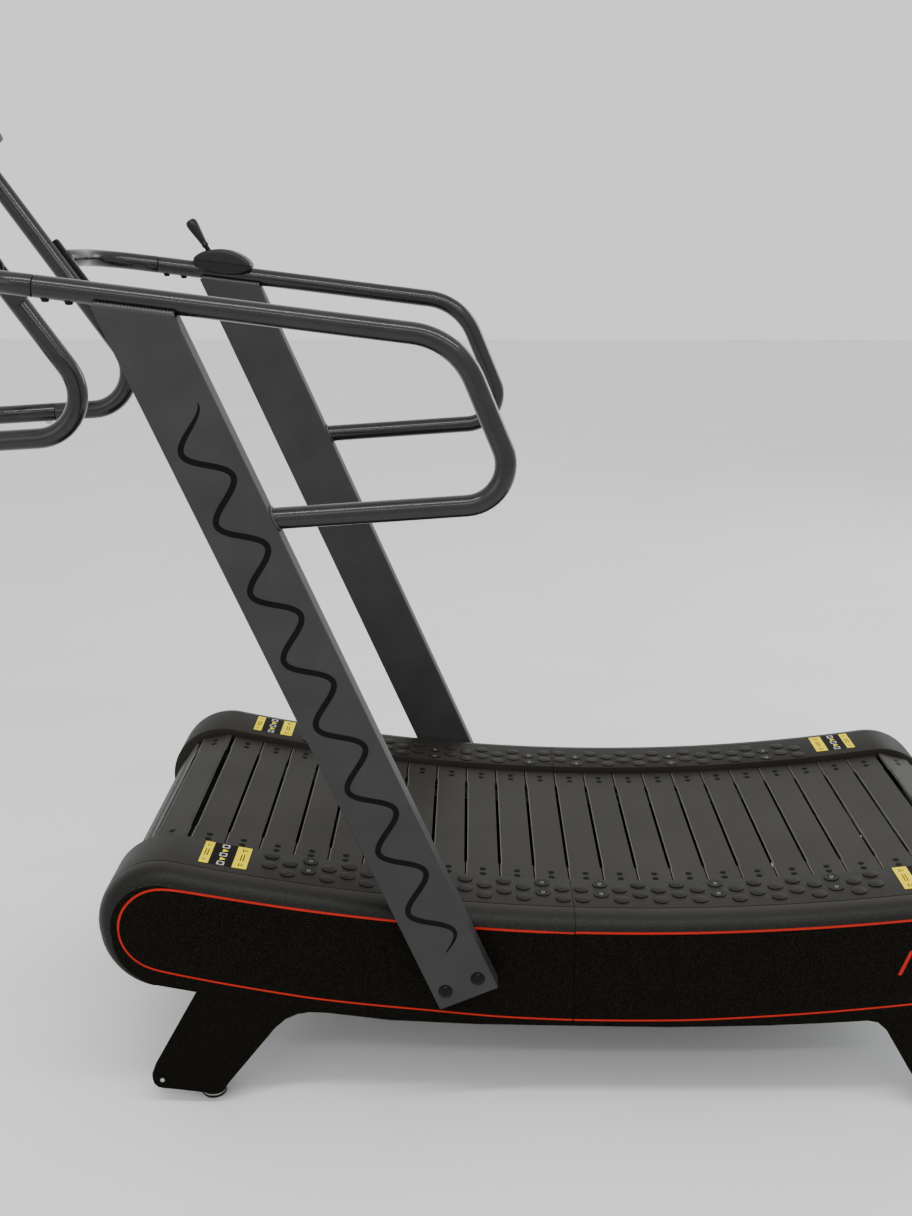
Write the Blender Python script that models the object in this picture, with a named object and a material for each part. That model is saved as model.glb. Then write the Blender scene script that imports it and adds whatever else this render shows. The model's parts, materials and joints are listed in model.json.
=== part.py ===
"""Curved manual treadmill. Metres, +Z up, front is -X, the walker's left is -Y."""

import math

import bmesh
import bpy
from mathutils import Matrix, Vector

# Deck profile, in the XZ plane with x = 0 at the joint of the side covers.
DECK_CENTRE = Vector((0.10, 0.0, 3.9495))
DECK_RADIUS = 3.600
NOSE_RADIUS = 0.103
FRONT_BULGE = 0.0070
NOSE_X = 0.662
BELLY_CENTRE = Vector((0.1226, 0.0, 4.765))
BELLY_RADIUS = 4.611

# Belt: its carrier line is sized so that each drum holds four pitches.
BELT_DROP = 0.012
CARRIER_DEPTH = 0.01504
CARRIER_RADIUS = 0.0759643
RETURN_CENTRE = Vector((0.0899059, 0.0, 3.5818794))
RETURN_RADIUS = 3.4328171
TOP_SLATS = 22
WRAP_SLATS = 4
RETURN_SLATS = 23
SLAT_WIDTH = 0.0533
SLAT_PLATE = 0.0070
SLAT_HALF_LENGTH = 0.243
WEB_HALF_WIDTH = 0.0060
WEB_DEPTH = 0.0150
STRIP_OUTER = 0.0135
STRIP_INNER = 0.0165
STRIP_Y = (0.187, 0.213)
STRIP_END = 0.014

# Widths, as distances from the middle plane.
LIP_Y = 0.2455
PANEL_Y = 0.3810
COVER_WALL = 0.0025
PLATE_Y = (0.3720, 0.3780)
FLANGE_Y = 0.2540
UPRIGHT_Y = (0.3813, 0.4210)
RAIL_Y = 0.4012
ARM_Y = 0.1700
GAP = 0.0003

# Frame.
UPRIGHT_WIDTH = 0.1012
UPRIGHT_FOOT = Vector((-0.1700, 0.0, 0.2291))
UPRIGHT_LEAN = math.radians(23.59)
SEAM_X = -0.777
RAIL_RADIUS = 0.0160
ARM_RADIUS = 0.0165
SHAFT_RADIUS = 0.0150
DISC_RADIUS = 0.080
WHEEL_CENTRE = Vector((-0.678, 0.0, 0.048))
PAD_X = (-0.600, 0.627)
CONSOLE_CENTRE = Vector((-1.0375, 0.0, 1.6079))
CONSOLE_TILT = math.radians(40)
LEVER_PIVOT = Vector((-0.672, 0.0, 1.3490))
LEVER_LEAN = math.radians(31)
CENTRE_SHIFT = 0.1855
STEP_RAIL = [(0.262, 0.0044), (0.349, 0.0044), (0.3716, 0.0200), (0.3716, 0.0330), (0.262, 0.0330)]


def clear_scene():
    for obj in list(bpy.data.objects):
        bpy.data.objects.remove(obj, do_unlink=True)


def material(name, colour, roughness, metallic):
    made = bpy.data.materials.new(name)
    made.use_nodes = True
    shader = made.node_tree.nodes["Principled BSDF"]
    shader.inputs["Base Color"].default_value = (*colour, 1.0)
    shader.inputs["Roughness"].default_value = roughness
    shader.inputs["Metallic"].default_value = metallic
    made.diffuse_color = (*colour, 1.0)
    return made


def solid(name, points, faces, look, origin=None):
    """An object from a closed mesh, with its origin at the given point."""
    origin = Vector(origin) if origin is not None else Vector((0, 0, 0))
    mesh = bpy.data.meshes.new(name)
    mesh.from_pydata([tuple(Vector(point) - origin) for point in points], [], faces)
    work = bmesh.new()
    work.from_mesh(mesh)
    bmesh.ops.recalc_face_normals(work, faces=work.faces)
    work.to_mesh(mesh)
    work.free()
    mesh.materials.append(look)
    obj = bpy.data.objects.new(name, mesh)
    obj.location = origin
    bpy.context.scene.collection.objects.link(obj)
    return obj


def combine(target, other, operation):
    """Joins another closed mesh to the target, or cuts it out, and removes the other."""
    modifier = target.modifiers.new(operation, "BOOLEAN")
    modifier.operation = operation
    modifier.solver = "EXACT"
    modifier.object = other
    bpy.context.view_layer.update()
    graph = bpy.context.evaluated_depsgraph_get()
    mesh = bpy.data.meshes.new_from_object(target.evaluated_get(graph))
    target.modifiers.clear()
    target.data = mesh
    bpy.data.objects.remove(other, do_unlink=True)
    return target


def gather(objects):
    """One object that holds the meshes of several."""
    work = bmesh.new()
    for obj in objects:
        start = len(work.verts)
        work.from_mesh(obj.data)
        work.verts.ensure_lookup_table()
        bmesh.ops.translate(work, verts=work.verts[start:], vec=obj.location - objects[0].location)
    work.to_mesh(objects[0].data)
    work.free()
    for obj in objects[1:]:
        bpy.data.objects.remove(obj, do_unlink=True)
    return objects[0]


def loft(name, rings, look, origin=None, closed=False):
    """A skin over rings of equal length. Its ends are capped unless the rings close on themselves."""
    count = len(rings[0])
    points = [point for ring in rings for point in ring]
    faces = []
    last = len(rings) if closed else len(rings) - 1
    for i in range(last):
        low = i * count
        high = (i + 1) % len(rings) * count
        for j in range(count):
            k = (j + 1) % count
            faces.append((low + j, low + k, high + k, high + j))
    if not closed:
        faces.append(tuple(range(count))[::-1])
        faces.append(tuple(range(last * count, last * count + count)))
    return solid(name, points, faces, look, origin)


def prism(name, outline, low, high, look, origin=None):
    """An outline of (x, z) points, extruded along Y."""
    rings = [[(x, y, z) for x, z in outline] for y in (low, high)]
    return loft(name, rings, look, origin)


def box(name, low, high, look):
    outline = [(low[0], low[2]), (high[0], low[2]), (high[0], high[2]), (low[0], high[2])]
    return prism(name, outline, low[1], high[1], look)


def lathe(name, centre, profile, sides, look, origin=None, closed=False):
    """A profile of (y, radius) points turned about a line along Y through the centre."""
    rings = []
    for y, radius in profile:
        ring = []
        for i in range(sides):
            angle = 2 * math.pi * i / sides
            ring.append((centre[0] + radius * math.cos(angle), y, centre[2] + radius * math.sin(angle)))
        rings.append(ring)
    return loft(name, rings, look, origin, closed)


def rod(name, start, end, radius, sides, look, origin=None):
    """A round bar between two points."""
    return tube(name, [Vector(start), Vector(end)], radius, sides, look, origin)


def rings_along(path, radius, sides):
    """Rings of points around a path, carried along it without twist."""
    first = (path[1] - path[0]).normalized()
    side = first.cross(Vector((0, 1, 0)))
    if side.length < 0.01:
        side = first.cross(Vector((1, 0, 0)))
    side.normalize()
    rings = []
    for i, point in enumerate(path):
        before = (point - path[i - 1]).normalized() if i else first
        after = (path[i + 1] - point).normalized() if i + 1 < len(path) else before
        along = (before + after).normalized()
        side = (side - along * side.dot(along)).normalized()
        other = along.cross(side)
        ring = []
        for j in range(sides):
            angle = 2 * math.pi * (j + 0.5) / sides
            ring.append(point + radius * (math.cos(angle) * side + math.sin(angle) * other))
        rings.append(ring)
    return rings


def tube(name, path, radius, sides, look, origin=None):
    return loft(name, rings_along(path, radius, sides), look, origin)


def bent(corners, steps):
    """A path through (point, bend radius) corners, with each bend as an arc."""
    path = [Vector(corners[0][0])]
    for i in range(1, len(corners) - 1):
        corner, radius = Vector(corners[i][0]), corners[i][1]
        back = (Vector(corners[i - 1][0]) - corner).normalized()
        ahead = (Vector(corners[i + 1][0]) - corner).normalized()
        half = back.angle(ahead) / 2
        centre = corner + (back + ahead).normalized() * radius / math.sin(half)
        start = corner + back * radius / math.tan(half)
        axis = back.cross(ahead).normalized()
        turn = math.pi - 2 * half
        for k in range(steps + 1):
            path.append(centre + Matrix.Rotation(-turn * k / steps, 3, axis) @ (start - centre))
    path.append(Vector(corners[-1][0]))
    return path


def slide_to_plane(ring, along, point, normal):
    """Moves each point of an end ring along the tube until it meets a plane."""
    return [p + along * (point - p).dot(normal) / along.dot(normal) for p in ring]


def nose_centre(end):
    """The centre of the rounded nose: end is -1 at the front and 1 at the rear."""
    across = end * NOSE_X - DECK_CENTRE.x
    drop = math.sqrt((DECK_RADIUS + NOSE_RADIUS) ** 2 - across**2)
    return Vector((end * NOSE_X, 0.0, DECK_CENTRE.z - drop))


def deck_tangent(end):
    """The angle about the deck's centre at which the deck meets a nose."""
    return math.asin((end * NOSE_X - DECK_CENTRE.x) / (DECK_RADIUS + NOSE_RADIUS))


def on_deck(angle):
    """The point and outward normal of the deck profile at an angle about its centre."""
    away = Vector((math.sin(angle), 0.0, -math.cos(angle)))
    return DECK_CENTRE + DECK_RADIUS * away, -away


def deck_angle(x):
    return math.asin((x - DECK_CENTRE.x) / DECK_RADIUS)


def deck_height(x, drop=0.0):
    """The height of the line that lies a drop below the deck profile."""
    return DECK_CENTRE.z - math.sqrt((DECK_RADIUS + drop) ** 2 - (x - DECK_CENTRE.x) ** 2)


def belly_height(x, raised=0.0):
    return BELLY_CENTRE.z - math.sqrt((BELLY_RADIUS - raised) ** 2 - (x - BELLY_CENTRE.x) ** 2)


def cover_stations(end):
    """Points, inward offsets' normals and shoulder radii around one cover half, top to belly."""
    stations = []
    top = deck_angle(end * GAP)
    tangent = deck_tangent(end)
    for i in range(7):
        point, normal = on_deck(top + (tangent - top) * i / 6)
        if i == 0:
            normal = Vector((0, 0, 1))
        stations.append((point, normal, 0.028))
    centre = nose_centre(end)
    first = math.pi / 2 + tangent
    gap = NOSE_X - end * BELLY_CENTRE.x
    belly = math.asin(gap / (BELLY_RADIUS - NOSE_RADIUS))
    turn = math.pi + abs(tangent) - belly
    for i in range(1, 12):
        angle = first - end * turn * i / 11
        normal = Vector((math.cos(angle), 0.0, math.sin(angle)))
        shrink = max(0.0, (i - 7) / 4)
        bulge = FRONT_BULGE * math.sin(math.pi * i / 11) if end < 0 else 0.0
        stations.append((centre + (NOSE_RADIUS + bulge) * normal, normal, 0.028 - 0.024 * shrink))
    return stations


def cover_section(station, side):
    """The outer and inner points of the cover's cross-section at one station."""
    point, normal, radius = station
    outer = [(LIP_Y, -0.020), (LIP_Y, 0.0)]
    inner = [(LIP_Y + COVER_WALL, -0.020), (LIP_Y + COVER_WALL, -COVER_WALL)]
    for i in range(4):
        angle = math.pi / 2 * (1 - i / 3)
        y = PANEL_Y - radius
        tight = radius - COVER_WALL
        outer.append((y + radius * math.cos(angle), -radius + radius * math.sin(angle)))
        inner.append((y + tight * math.cos(angle), -radius + tight * math.sin(angle)))
    rings = []
    for row in (outer, inner):
        rings.append([point + normal * drop + Vector((0, side * y, 0)) for y, drop in row])
    return rings


def cover(name, end, side, look):
    """One half of a side cover: a step, a rounded shoulder and a flat side, as one shell."""
    sections = [cover_section(station, side) for station in cover_stations(end)]
    count = len(sections[0][0])
    points = []
    for outer, inner in sections:
        points += outer + inner
    faces = []
    for i in range(len(sections) - 1):
        low, high = i * 2 * count, (i + 1) * 2 * count
        for j in range(count - 1):
            faces.append((low + j, low + j + 1, high + j + 1, high + j))
            faces.append((low + count + j, high + count + j, high + count + j + 1, low + count + j + 1))
        faces.append((low, high, high + count, low + count))
    last = (len(sections) - 1) * 2 * count
    belly = []
    for i in range(1, 6):
        x = end * (NOSE_X - 0.02) * (1 - i / 5) + end * GAP
        z = belly_height(x, 0.004)
        belly.append(len(points))
        points.append(Vector((x, side * PANEL_Y, z)))
        points.append(Vector((x, side * (PANEL_Y - COVER_WALL), z)))
    outer_edge = [i * 2 * count + count - 1 for i in range(len(sections))] + belly
    inner_edge = [i * 2 * count + 2 * count - 1 for i in range(len(sections))]
    inner_edge += [i + 1 for i in belly]
    faces.append(tuple(outer_edge))
    faces.append(tuple(inner_edge)[::-1])
    for i in range(len(sections) - 1, len(outer_edge) - 1):
        faces.append((outer_edge[i], outer_edge[i + 1], inner_edge[i + 1], inner_edge[i]))
    faces.append(tuple(range(last, last + count)) + tuple(range(last + count, last + 2 * count))[::-1])
    seam = tuple(range(count)) + (belly[-1], belly[-1] + 1)
    faces.append(seam + tuple(range(count, 2 * count))[::-1])
    return solid(name, points, faces, look)


def slat(name, surface, normal, look):
    """One slat: a flat plate on a web, with its outer face on the belt's surface."""
    across = Vector((normal.z, 0.0, -normal.x))
    half = SLAT_WIDTH / 2
    section = [(-half, 0), (half, 0), (half, -SLAT_PLATE), (WEB_HALF_WIDTH, -SLAT_PLATE)]
    section += [(WEB_HALF_WIDTH, -WEB_DEPTH), (-WEB_HALF_WIDTH, -WEB_DEPTH)]
    section += [(-WEB_HALF_WIDTH, -SLAT_PLATE), (-half, -SLAT_PLATE)]
    outline = [surface + across * a + normal * n for a, n in section]
    return prism(name, [(p.x, p.z) for p in outline], -SLAT_HALF_LENGTH, SLAT_HALF_LENGTH, look)


def slat_group(name, centre, radius, inward, angles, sweep, steps, look):
    """Slats on two carrier strips, on an arc about a centre. Inward is 1 if the belt's outside faces it."""

    def place(angle):
        away = Vector((math.sin(angle), 0.0, -math.cos(angle)))
        return centre + away * radius, away * -inward

    step = (sweep[1] - sweep[0]) / steps
    strips = []
    for side in (-1, 1):
        rings = []
        for i in range(steps + 1):
            point, normal = place(sweep[0] + step * i)
            ring = []
            for y, depth in ((0, STRIP_OUTER), (1, STRIP_OUTER), (1, STRIP_INNER), (0, STRIP_INNER)):
                ring.append(point - normal * depth + Vector((0, side * STRIP_Y[y], 0)))
            rings.append(ring)
        strips.append(loft(name, rings, look, centre))
    slats = [slat("slat", *place(angle), look) for angle in angles]
    return combine(gather(strips), gather(slats), "UNION")


def belt(look):
    """The belt as four groups of slats, split where the runs meet the drums."""
    carrier = DECK_RADIUS + BELT_DROP + CARRIER_DEPTH
    front, rear = deck_tangent(-1), deck_tangent(1)
    step = (rear - front) / TOP_SLATS
    end = STRIP_END / carrier
    angles = [front + step * (i + 0.5) for i in range(TOP_SLATS)]
    sweep = (angles[0] - end, angles[-1] + end)
    slat_group("belt_top_run", DECK_CENTRE, DECK_RADIUS + BELT_DROP, 1, angles, sweep, 11, look)

    low = RETURN_RADIUS - CARRIER_DEPTH
    first = math.asin((-NOSE_X - RETURN_CENTRE.x) / (RETURN_RADIUS - NOSE_RADIUS + BELT_DROP))
    last = math.asin((NOSE_X - RETURN_CENTRE.x) / (RETURN_RADIUS - NOSE_RADIUS + BELT_DROP))
    step = (last - first) / RETURN_SLATS
    end = STRIP_END / low
    angles = [first + step * (i + 0.5) for i in range(RETURN_SLATS)]
    sweep = (angles[0] - end, angles[-1] + end)
    slat_group("belt_return_run", RETURN_CENTRE, RETURN_RADIUS, -1, angles, sweep, 12, look)

    end = STRIP_END / CARRIER_RADIUS
    for name, nose, top, bottom in (
        ("belt_front_wrap", -1, front, first),
        ("belt_rear_wrap", 1, rear, last),
    ):
        begin = math.pi + top
        step = (bottom + (math.tau if nose < 0 else 0) - begin) / WRAP_SLATS
        angles = [begin + step * (i + 0.5) for i in range(WRAP_SLATS)]
        end_step = math.copysign(end, step)
        sweep = (angles[0] - end_step, angles[-1] + end_step)
        radius = NOSE_RADIUS - BELT_DROP
        slat_group(name, nose_centre(nose), radius, -1, angles, sweep, 18, look)


def drum(name, nose, look):
    """A roller with a raised pulley at each end for the carrier strips, bored for its shaft."""
    centre = nose_centre(nose)
    pulley, body = 0.0738, 0.0600
    bore = SHAFT_RADIUS + GAP
    profile = [(-0.228, bore), (-0.228, pulley), (-0.172, pulley), (-0.166, body)]
    profile += [(-y, radius) for y, radius in profile[::-1]]
    return lathe(name, centre, profile, 28, look, centre, closed=True)


def shaft(name, nose, look):
    centre = nose_centre(nose)
    return lathe(name, centre, [(-0.368, SHAFT_RADIUS), (0.368, SHAFT_RADIUS)], 16, look, centre)


def bearing_block(name, nose, side, look):
    """A flanged block that carries a drum shaft on the side plate."""
    centre = nose_centre(nose)
    outline = []
    for i in range(8):
        angle = math.pi / 8 + math.pi / 4 * i
        outline.append((centre.x + 0.040 * math.cos(angle), centre.z + 0.040 * math.sin(angle)))
    low, high = sorted((side * 0.330, side * (PLATE_Y[0] - GAP)))
    block = prism(name, outline, low, high, look)
    bore = SHAFT_RADIUS + 2 * GAP
    hole = lathe("hole", centre, [(low - 0.01, bore), (high + 0.01, bore)], 16, look)
    return combine(block, hole, "DIFFERENCE")


def brake_frame():
    """The direction from the front shaft to the magnets, and the one along the disc's rim."""
    angle = math.radians(-40)
    out = Vector((math.cos(angle), 0.0, math.sin(angle)))
    return out, Vector((-out.z, 0.0, out.x))


def brake_pivot_point():
    out, along = brake_frame()
    return nose_centre(-1) + out * 0.1050 + along * 0.0720


def brake(steel, black):
    """The disc on the front shaft, and the magnet holder that swings over its rim."""
    centre = nose_centre(-1)
    bore = SHAFT_RADIUS + GAP
    profile = [(0.285, bore), (0.285, DISC_RADIUS), (0.293, DISC_RADIUS), (0.293, 0.030)]
    profile += [(0.303, 0.030), (0.303, bore)]
    lathe("brake_disc", centre, profile, 28, steel, centre, closed=True)

    out, along = brake_frame()
    pivot = brake_pivot_point()
    corners = [(0.066, -0.022), (0.114, -0.022), (0.118, 0.040), (0.116, 0.084), (0.094, 0.084)]
    corners += [(0.090, 0.030), (0.066, 0.022)]
    outline = [centre + out * a + along * b for a, b in corners]
    holder = prism("brake_magnet_holder", [(p.x, p.z) for p in outline], 0.272, 0.306, black, pivot)
    slot = lathe("slot", centre, [(0.2825, 0.1005), (0.2955, 0.1005)], 32, black)
    combine(holder, slot, "DIFFERENCE")
    hole = lathe("hole", pivot, [(0.26, 0.0055), (0.32, 0.0055)], 16, black)
    combine(holder, hole, "DIFFERENCE")
    profile = [(0.266, 0.0080), (0.2715, 0.0080), (0.2715, 0.0050), (PLATE_Y[0] - GAP, 0.0050)]
    lathe("brake_pivot_pin", pivot, profile, 16, steel)


def side_plate(name, side, look):
    """The cut steel side: a curved beam with a front and a rear leg."""
    outline = []
    front, rear = deck_tangent(-1), deck_tangent(1)
    for i in range(13):
        point, normal = on_deck(front + (rear - front) * i / 12)
        point = point - normal * 0.030
        outline.append((point.x, point.z))
    centre = nose_centre(1)
    for degrees in range(75, -31, -15):
        angle = math.radians(degrees)
        outline.append((centre.x + 0.073 * math.cos(angle), centre.z + 0.073 * math.sin(angle)))
    outline += [(0.672, 0.222), (0.672, 0.140), (0.664, 0.030), (0.656, 0.022), (0.594, 0.022)]
    outline += [(0.582, 0.030), (0.512, 0.149), (0.497, 0.163), (0.472, 0.168)]
    for x in (0.32, 0.16, 0.0, -0.16, -0.30):
        outline.append((x, belly_height(x) - 0.002 - 0.03 * abs(min(x, 0.0))))
    outline += [(-0.400, 0.175), (-0.430, 0.176), (-0.450, 0.1725), (-0.469, 0.1635), (-0.487, 0.147)]
    outline += [(-0.566, 0.045), (-0.5765, 0.030), (-0.586, 0.0225), (-0.600, 0.022)]
    outline += [(-0.655, 0.029)]
    for degrees in (270, 240, 210, 180, 150):
        angle = math.radians(degrees)
        outline.append((WHEEL_CENTRE.x + 0.017 * math.cos(angle), WHEEL_CENTRE.z + 0.017 * math.sin(angle)))
    outline += [(-0.6885, 0.076), (-0.612, 0.215)]
    centre = nose_centre(-1)
    for degrees in range(235, 104, -15):
        angle = math.radians(degrees)
        outline.append((centre.x + 0.073 * math.cos(angle), centre.z + 0.073 * math.sin(angle)))
    low, high = sorted((side * PLATE_Y[0], side * PLATE_Y[1]))
    plate = prism(name, outline, low, high, look)
    for centre, radius in [(WHEEL_CENTRE, 0.0045)] + [(p, 0.0056) for p in upright_bolt_points()]:
        hole = lathe("hole", centre, [(low - 0.01, radius), (high + 0.01, radius)], 12, look)
        combine(plate, hole, "DIFFERENCE")
    for xs, pad_x in (((-0.644, -0.585), PAD_X[0]), ((0.598, 0.655), PAD_X[1])):
        combine(plate, foot_bracket(xs, side, pad_x, look), "UNION")
    combine(plate, lower_flange(side, look), "UNION")
    return plate


def lower_flange(side, look):
    """The side plate's lower edge, folded inward under the frame."""
    rings = []
    for i in range(11):
        x = -0.400 + 0.086 * i
        z = belly_height(x) + 0.004
        ring = []
        root = PLATE_Y[0] + 0.001
        for y, lift in ((FLANGE_Y, 0.0), (root, 0.0), (root, 0.003), (FLANGE_Y, 0.003)):
            ring.append(Vector((x, side * y, z + lift)))
        rings.append(ring)
    return loft("lower_flange", rings, look)


def curved_bar(name, xs, section, side, look):
    """A bar that follows the deck, with a section of (y, drop) points."""
    rings = []
    for i in range(9):
        point, normal = on_deck(deck_angle(xs[0] + (xs[1] - xs[0]) * i / 8))
        rings.append([point - normal * drop + Vector((0, side * y, 0)) for y, drop in section])
    return loft(name, rings, look)


def idler_rail(name, side, look):
    """A bar with a row of support rollers under one carrier strip."""
    section = [(0.225, 0.034), (0.231, 0.034), (0.231, 0.072), (0.225, 0.072)]
    rail = curved_bar(name, (-0.57, 0.57), section, side, look)
    strip = BELT_DROP + STRIP_INNER
    for i in range(9):
        point, normal = on_deck(deck_angle(-0.52 + 0.130 * i))
        centre = point - normal * (strip + 0.0004 + 0.012)
        low, high = sorted((side * 0.186, side * 0.228))
        combine(rail, lathe("roller", centre, [(low, 0.012), (high, 0.012)], 10, look), "UNION")
    return rail


def foot_bracket(xs, side, pad_x, look):
    """An angle bracket welded inside a leg, with a hole for the levelling stud."""
    wall = side * (PLATE_Y[0] + 0.001)
    outline = [(wall, 0.028), (side * 0.316, 0.028), (side * 0.316, 0.034)]
    outline += [(wall - side * 0.006, 0.034), (wall - side * 0.006, 0.100), (wall, 0.100)]
    rings = [[(x, y, z) for y, z in outline] for x in xs]
    bracket = loft("foot_bracket", rings, look)
    hole = rod("hole", (pad_x, side * 0.342, 0.0), (pad_x, side * 0.342, 0.05), 0.0056, 12, look)
    return combine(bracket, hole, "DIFFERENCE")


def levelling_foot(name, x, side, look):
    """A round pad on a threaded stud, with a nut above the bracket."""
    profile = [(0.000, 0.0190), (0.003, 0.0205), (0.008, 0.0205), (0.014, 0.0080), (0.0277, 0.0080)]
    profile += [(0.0277, 0.0050), (0.0343, 0.0050), (0.0343, 0.0085), (0.0420, 0.0085), (0.0420, 0.0050)]
    profile += [(0.0620, 0.0050)]
    rings = []
    for z, radius in profile:
        ring = []
        for i in range(16):
            angle = 2 * math.pi * i / 16
            ring.append((x + radius * math.cos(angle), side * 0.342 + radius * math.sin(angle), z))
        rings.append(ring)
    return loft(name, rings, look, (x, side * 0.342, 0.0))


def transport_wheel(name, bolt_name, side, rubber, steel):
    """A small wheel beside the front leg, on a bolt that passes through the side plate."""
    ys = [side * y for y in (0.3430, 0.3440, 0.3690, 0.3700)]
    profile = [(ys[0], 0.0045), (ys[0], 0.0185), (ys[1], 0.0200)]
    profile += [(ys[2], 0.0200), (ys[3], 0.0185), (ys[3], 0.0045)]
    lathe(name, WHEEL_CENTRE, profile, 18, rubber, WHEEL_CENTRE, closed=True)
    outer = PLATE_Y[1] + GAP
    profile = [(side * 0.3360, 0.0070), (side * 0.3425, 0.0070), (side * 0.3425, 0.0040)]
    profile += [(side * outer, 0.0040), (side * outer, 0.0065), (side * (outer + 0.003), 0.0050)]
    lathe(bolt_name, WHEEL_CENTRE, profile, 12, steel)


def lean_direction():
    return Vector((-math.sin(UPRIGHT_LEAN), 0.0, math.cos(UPRIGHT_LEAN)))


def upright_bolt_points():
    return [Vector((-0.2072, 0.0, 0.2425)), Vector((-0.1561, 0.0, 0.2656))]


def rail_height(x):
    """The height of the handrail's middle line over a point."""
    return 1.2875 - 0.122 * (x + 0.3918)


def upright(name, side, look):
    """A rectangular tube bolted outside the side cover and cut to the handrail's slope at the top."""
    up = lean_direction()
    across = Vector((up.z, 0.0, -up.x))
    middle = side * (UPRIGHT_Y[0] + UPRIGHT_Y[1]) / 2
    depth = (UPRIGHT_Y[1] - UPRIGHT_Y[0]) / 2
    slope = Vector((1.0, 0.0, -0.122)).normalized()
    under = Vector((0.0, 0.0, rail_height(0.0) - 0.01645))
    normal = Vector((-slope.z, 0.0, slope.x))

    def ring(width, thick, corner):
        points = []
        for a, b in ((-1, -1), (1, -1), (1, 1), (-1, 1)):
            first = (a * (width - corner), b * thick)
            second = (a * width, b * (thick - corner))
            points += [second, first] if a * b > 0 else [first, second]
        return points

    def tube_between(points, stretch):
        rings = []
        for top in (False, True):
            row = []
            for a, y in points:
                point = UPRIGHT_FOOT + across * a + Vector((0, middle + y, 0))
                if top:
                    point = slide_to_plane([point], up, under + normal * stretch, normal)[0]
                else:
                    point = point - up * stretch
                row.append(point)
            rings.append(row)
        return rings

    half = UPRIGHT_WIDTH / 2
    body = loft(name, tube_between(ring(half, depth, 0.003), 0.0), look)
    hollow = loft("hollow", tube_between(ring(half - 0.003, depth - 0.003, 0.001), 0.02), look)
    combine(body, hollow, "DIFFERENCE")
    for point in upright_bolt_points():
        hole = lathe("hole", point, [(middle - 0.03, 0.0056), (middle + 0.03, 0.0056)], 12, look)
        combine(body, hole, "DIFFERENCE")
    return body


def upright_bolts(name, side, look):
    """Two dome-head bolts and the nut plate that joins them behind the side plate."""
    first, second = upright_bolt_points()
    along = (second - first).normalized()
    across = Vector((-along.z, 0.0, along.x))
    outline = []
    for a, b in ((-0.016, -0.014), (0.072, -0.014), (0.072, 0.014), (-0.016, 0.014)):
        point = first + along * a + across * b
        outline.append((point.x, point.z))
    inner = PLATE_Y[0] - GAP
    low, high = sorted((side * inner, side * (inner - 0.006)))
    bolts = prism(name, outline, low, high, look)
    outer = UPRIGHT_Y[1] + GAP
    for point in (first, second):
        profile = [(side * (inner - 0.010), 0.0048), (side * outer, 0.0048), (side * outer, 0.0100)]
        profile += [(side * (outer + 0.0030), 0.0092), (side * (outer + 0.0052), 0.0055)]
        combine(bolts, lathe("bolt", point, profile, 16, look), "UNION")
    return bolts


def handrail(name, side, look):
    """The hand loop: a sloping top rail, a bend down and a lower rail back to the upright."""
    y = side * RAIL_Y
    rear = UPRIGHT_FOOT + Vector((UPRIGHT_WIDTH / 2 / math.cos(UPRIGHT_LEAN), y, 0))
    low_z = 1.0085
    end_x = rear.x - (low_z - rear.z) * math.tan(UPRIGHT_LEAN)
    corners = [((SEAM_X, y, rail_height(SEAM_X)), 0), ((-0.189, y, 1.2627), 0.110)]
    corners += [((-0.0915, y, 1.0304), 0.060), ((end_x, y, 1.0304 + 0.070 * (end_x + 0.0915)), 0)]
    path = bent(corners, 5)
    rings = rings_along(path, RAIL_RADIUS, 12)
    along = (path[-1] - path[-2]).normalized()
    normal = Vector((math.cos(UPRIGHT_LEAN), 0.0, math.sin(UPRIGHT_LEAN)))
    rings[-1] = slide_to_plane(rings[-1], along, rear + normal * 0.0004, normal)
    rail = loft(name, rings, look)
    slope = (path[1] - path[0]).normalized()
    bore = rod("bore", path[0] - slope * 0.01, path[0] + slope * 0.075, 0.0122, 12, look)
    combine(rail, bore, "DIFFERENCE")
    for point in link_bolt_points(y):
        hole = rod("hole", point, point - Vector((0, 0, 0.03)), 0.0036, 10, look)
        combine(rail, hole, "DIFFERENCE")
    return rail


def link_bolt_points(y):
    return [Vector((x, y, rail_height(x))) for x in (SEAM_X + 0.014, SEAM_X + 0.047)]


def link_bolts(name, side, look):
    """Two bolts from below, joined by a nut strip inside the handrail's front end."""
    y = side * RAIL_Y
    start, end = Vector((SEAM_X + 0.003, y, 0)), Vector((SEAM_X + 0.058, y, 0))
    rings = []
    for point in (start, end):
        z = rail_height(point.x)
        section = ((-0.0085, -0.0035), (0.0085, -0.0035), (0.0085, 0.0015), (-0.0085, 0.0015))
        rings.append([(point.x, y + a, z + b) for a, b in section])
    strip = loft(name, rings, look)
    for point in link_bolt_points(y):
        shank = rod("shank", point, point - Vector((0, 0, 0.018)), 0.0031, 10, look)
        combine(strip, shank, "UNION")
        top = point - Vector((0, 0, RAIL_RADIUS + 0.0012))
        combine(strip, rod("head", top, top - Vector((0, 0, 0.0045)), 0.0058, 10, look), "UNION")
    return strip


def handrail_link(name, side, look):
    """The tube that carries the handrail forward and inward to the arm's side plate."""
    slope = Vector((-1.0, 0.0, 0.122)).normalized()
    start = Vector((SEAM_X - GAP, side * RAIL_Y, rail_height(SEAM_X)))
    corner = start + slope * 0.125
    end = Vector((corner.x - 0.002, side * (ARM_Y + ARM_RADIUS + 0.0045), corner.z + 0.002))
    return tube(name, bent([(start, 0), (corner, 0.095), (end, 0)], 6), RAIL_RADIUS, 12, look)


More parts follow.
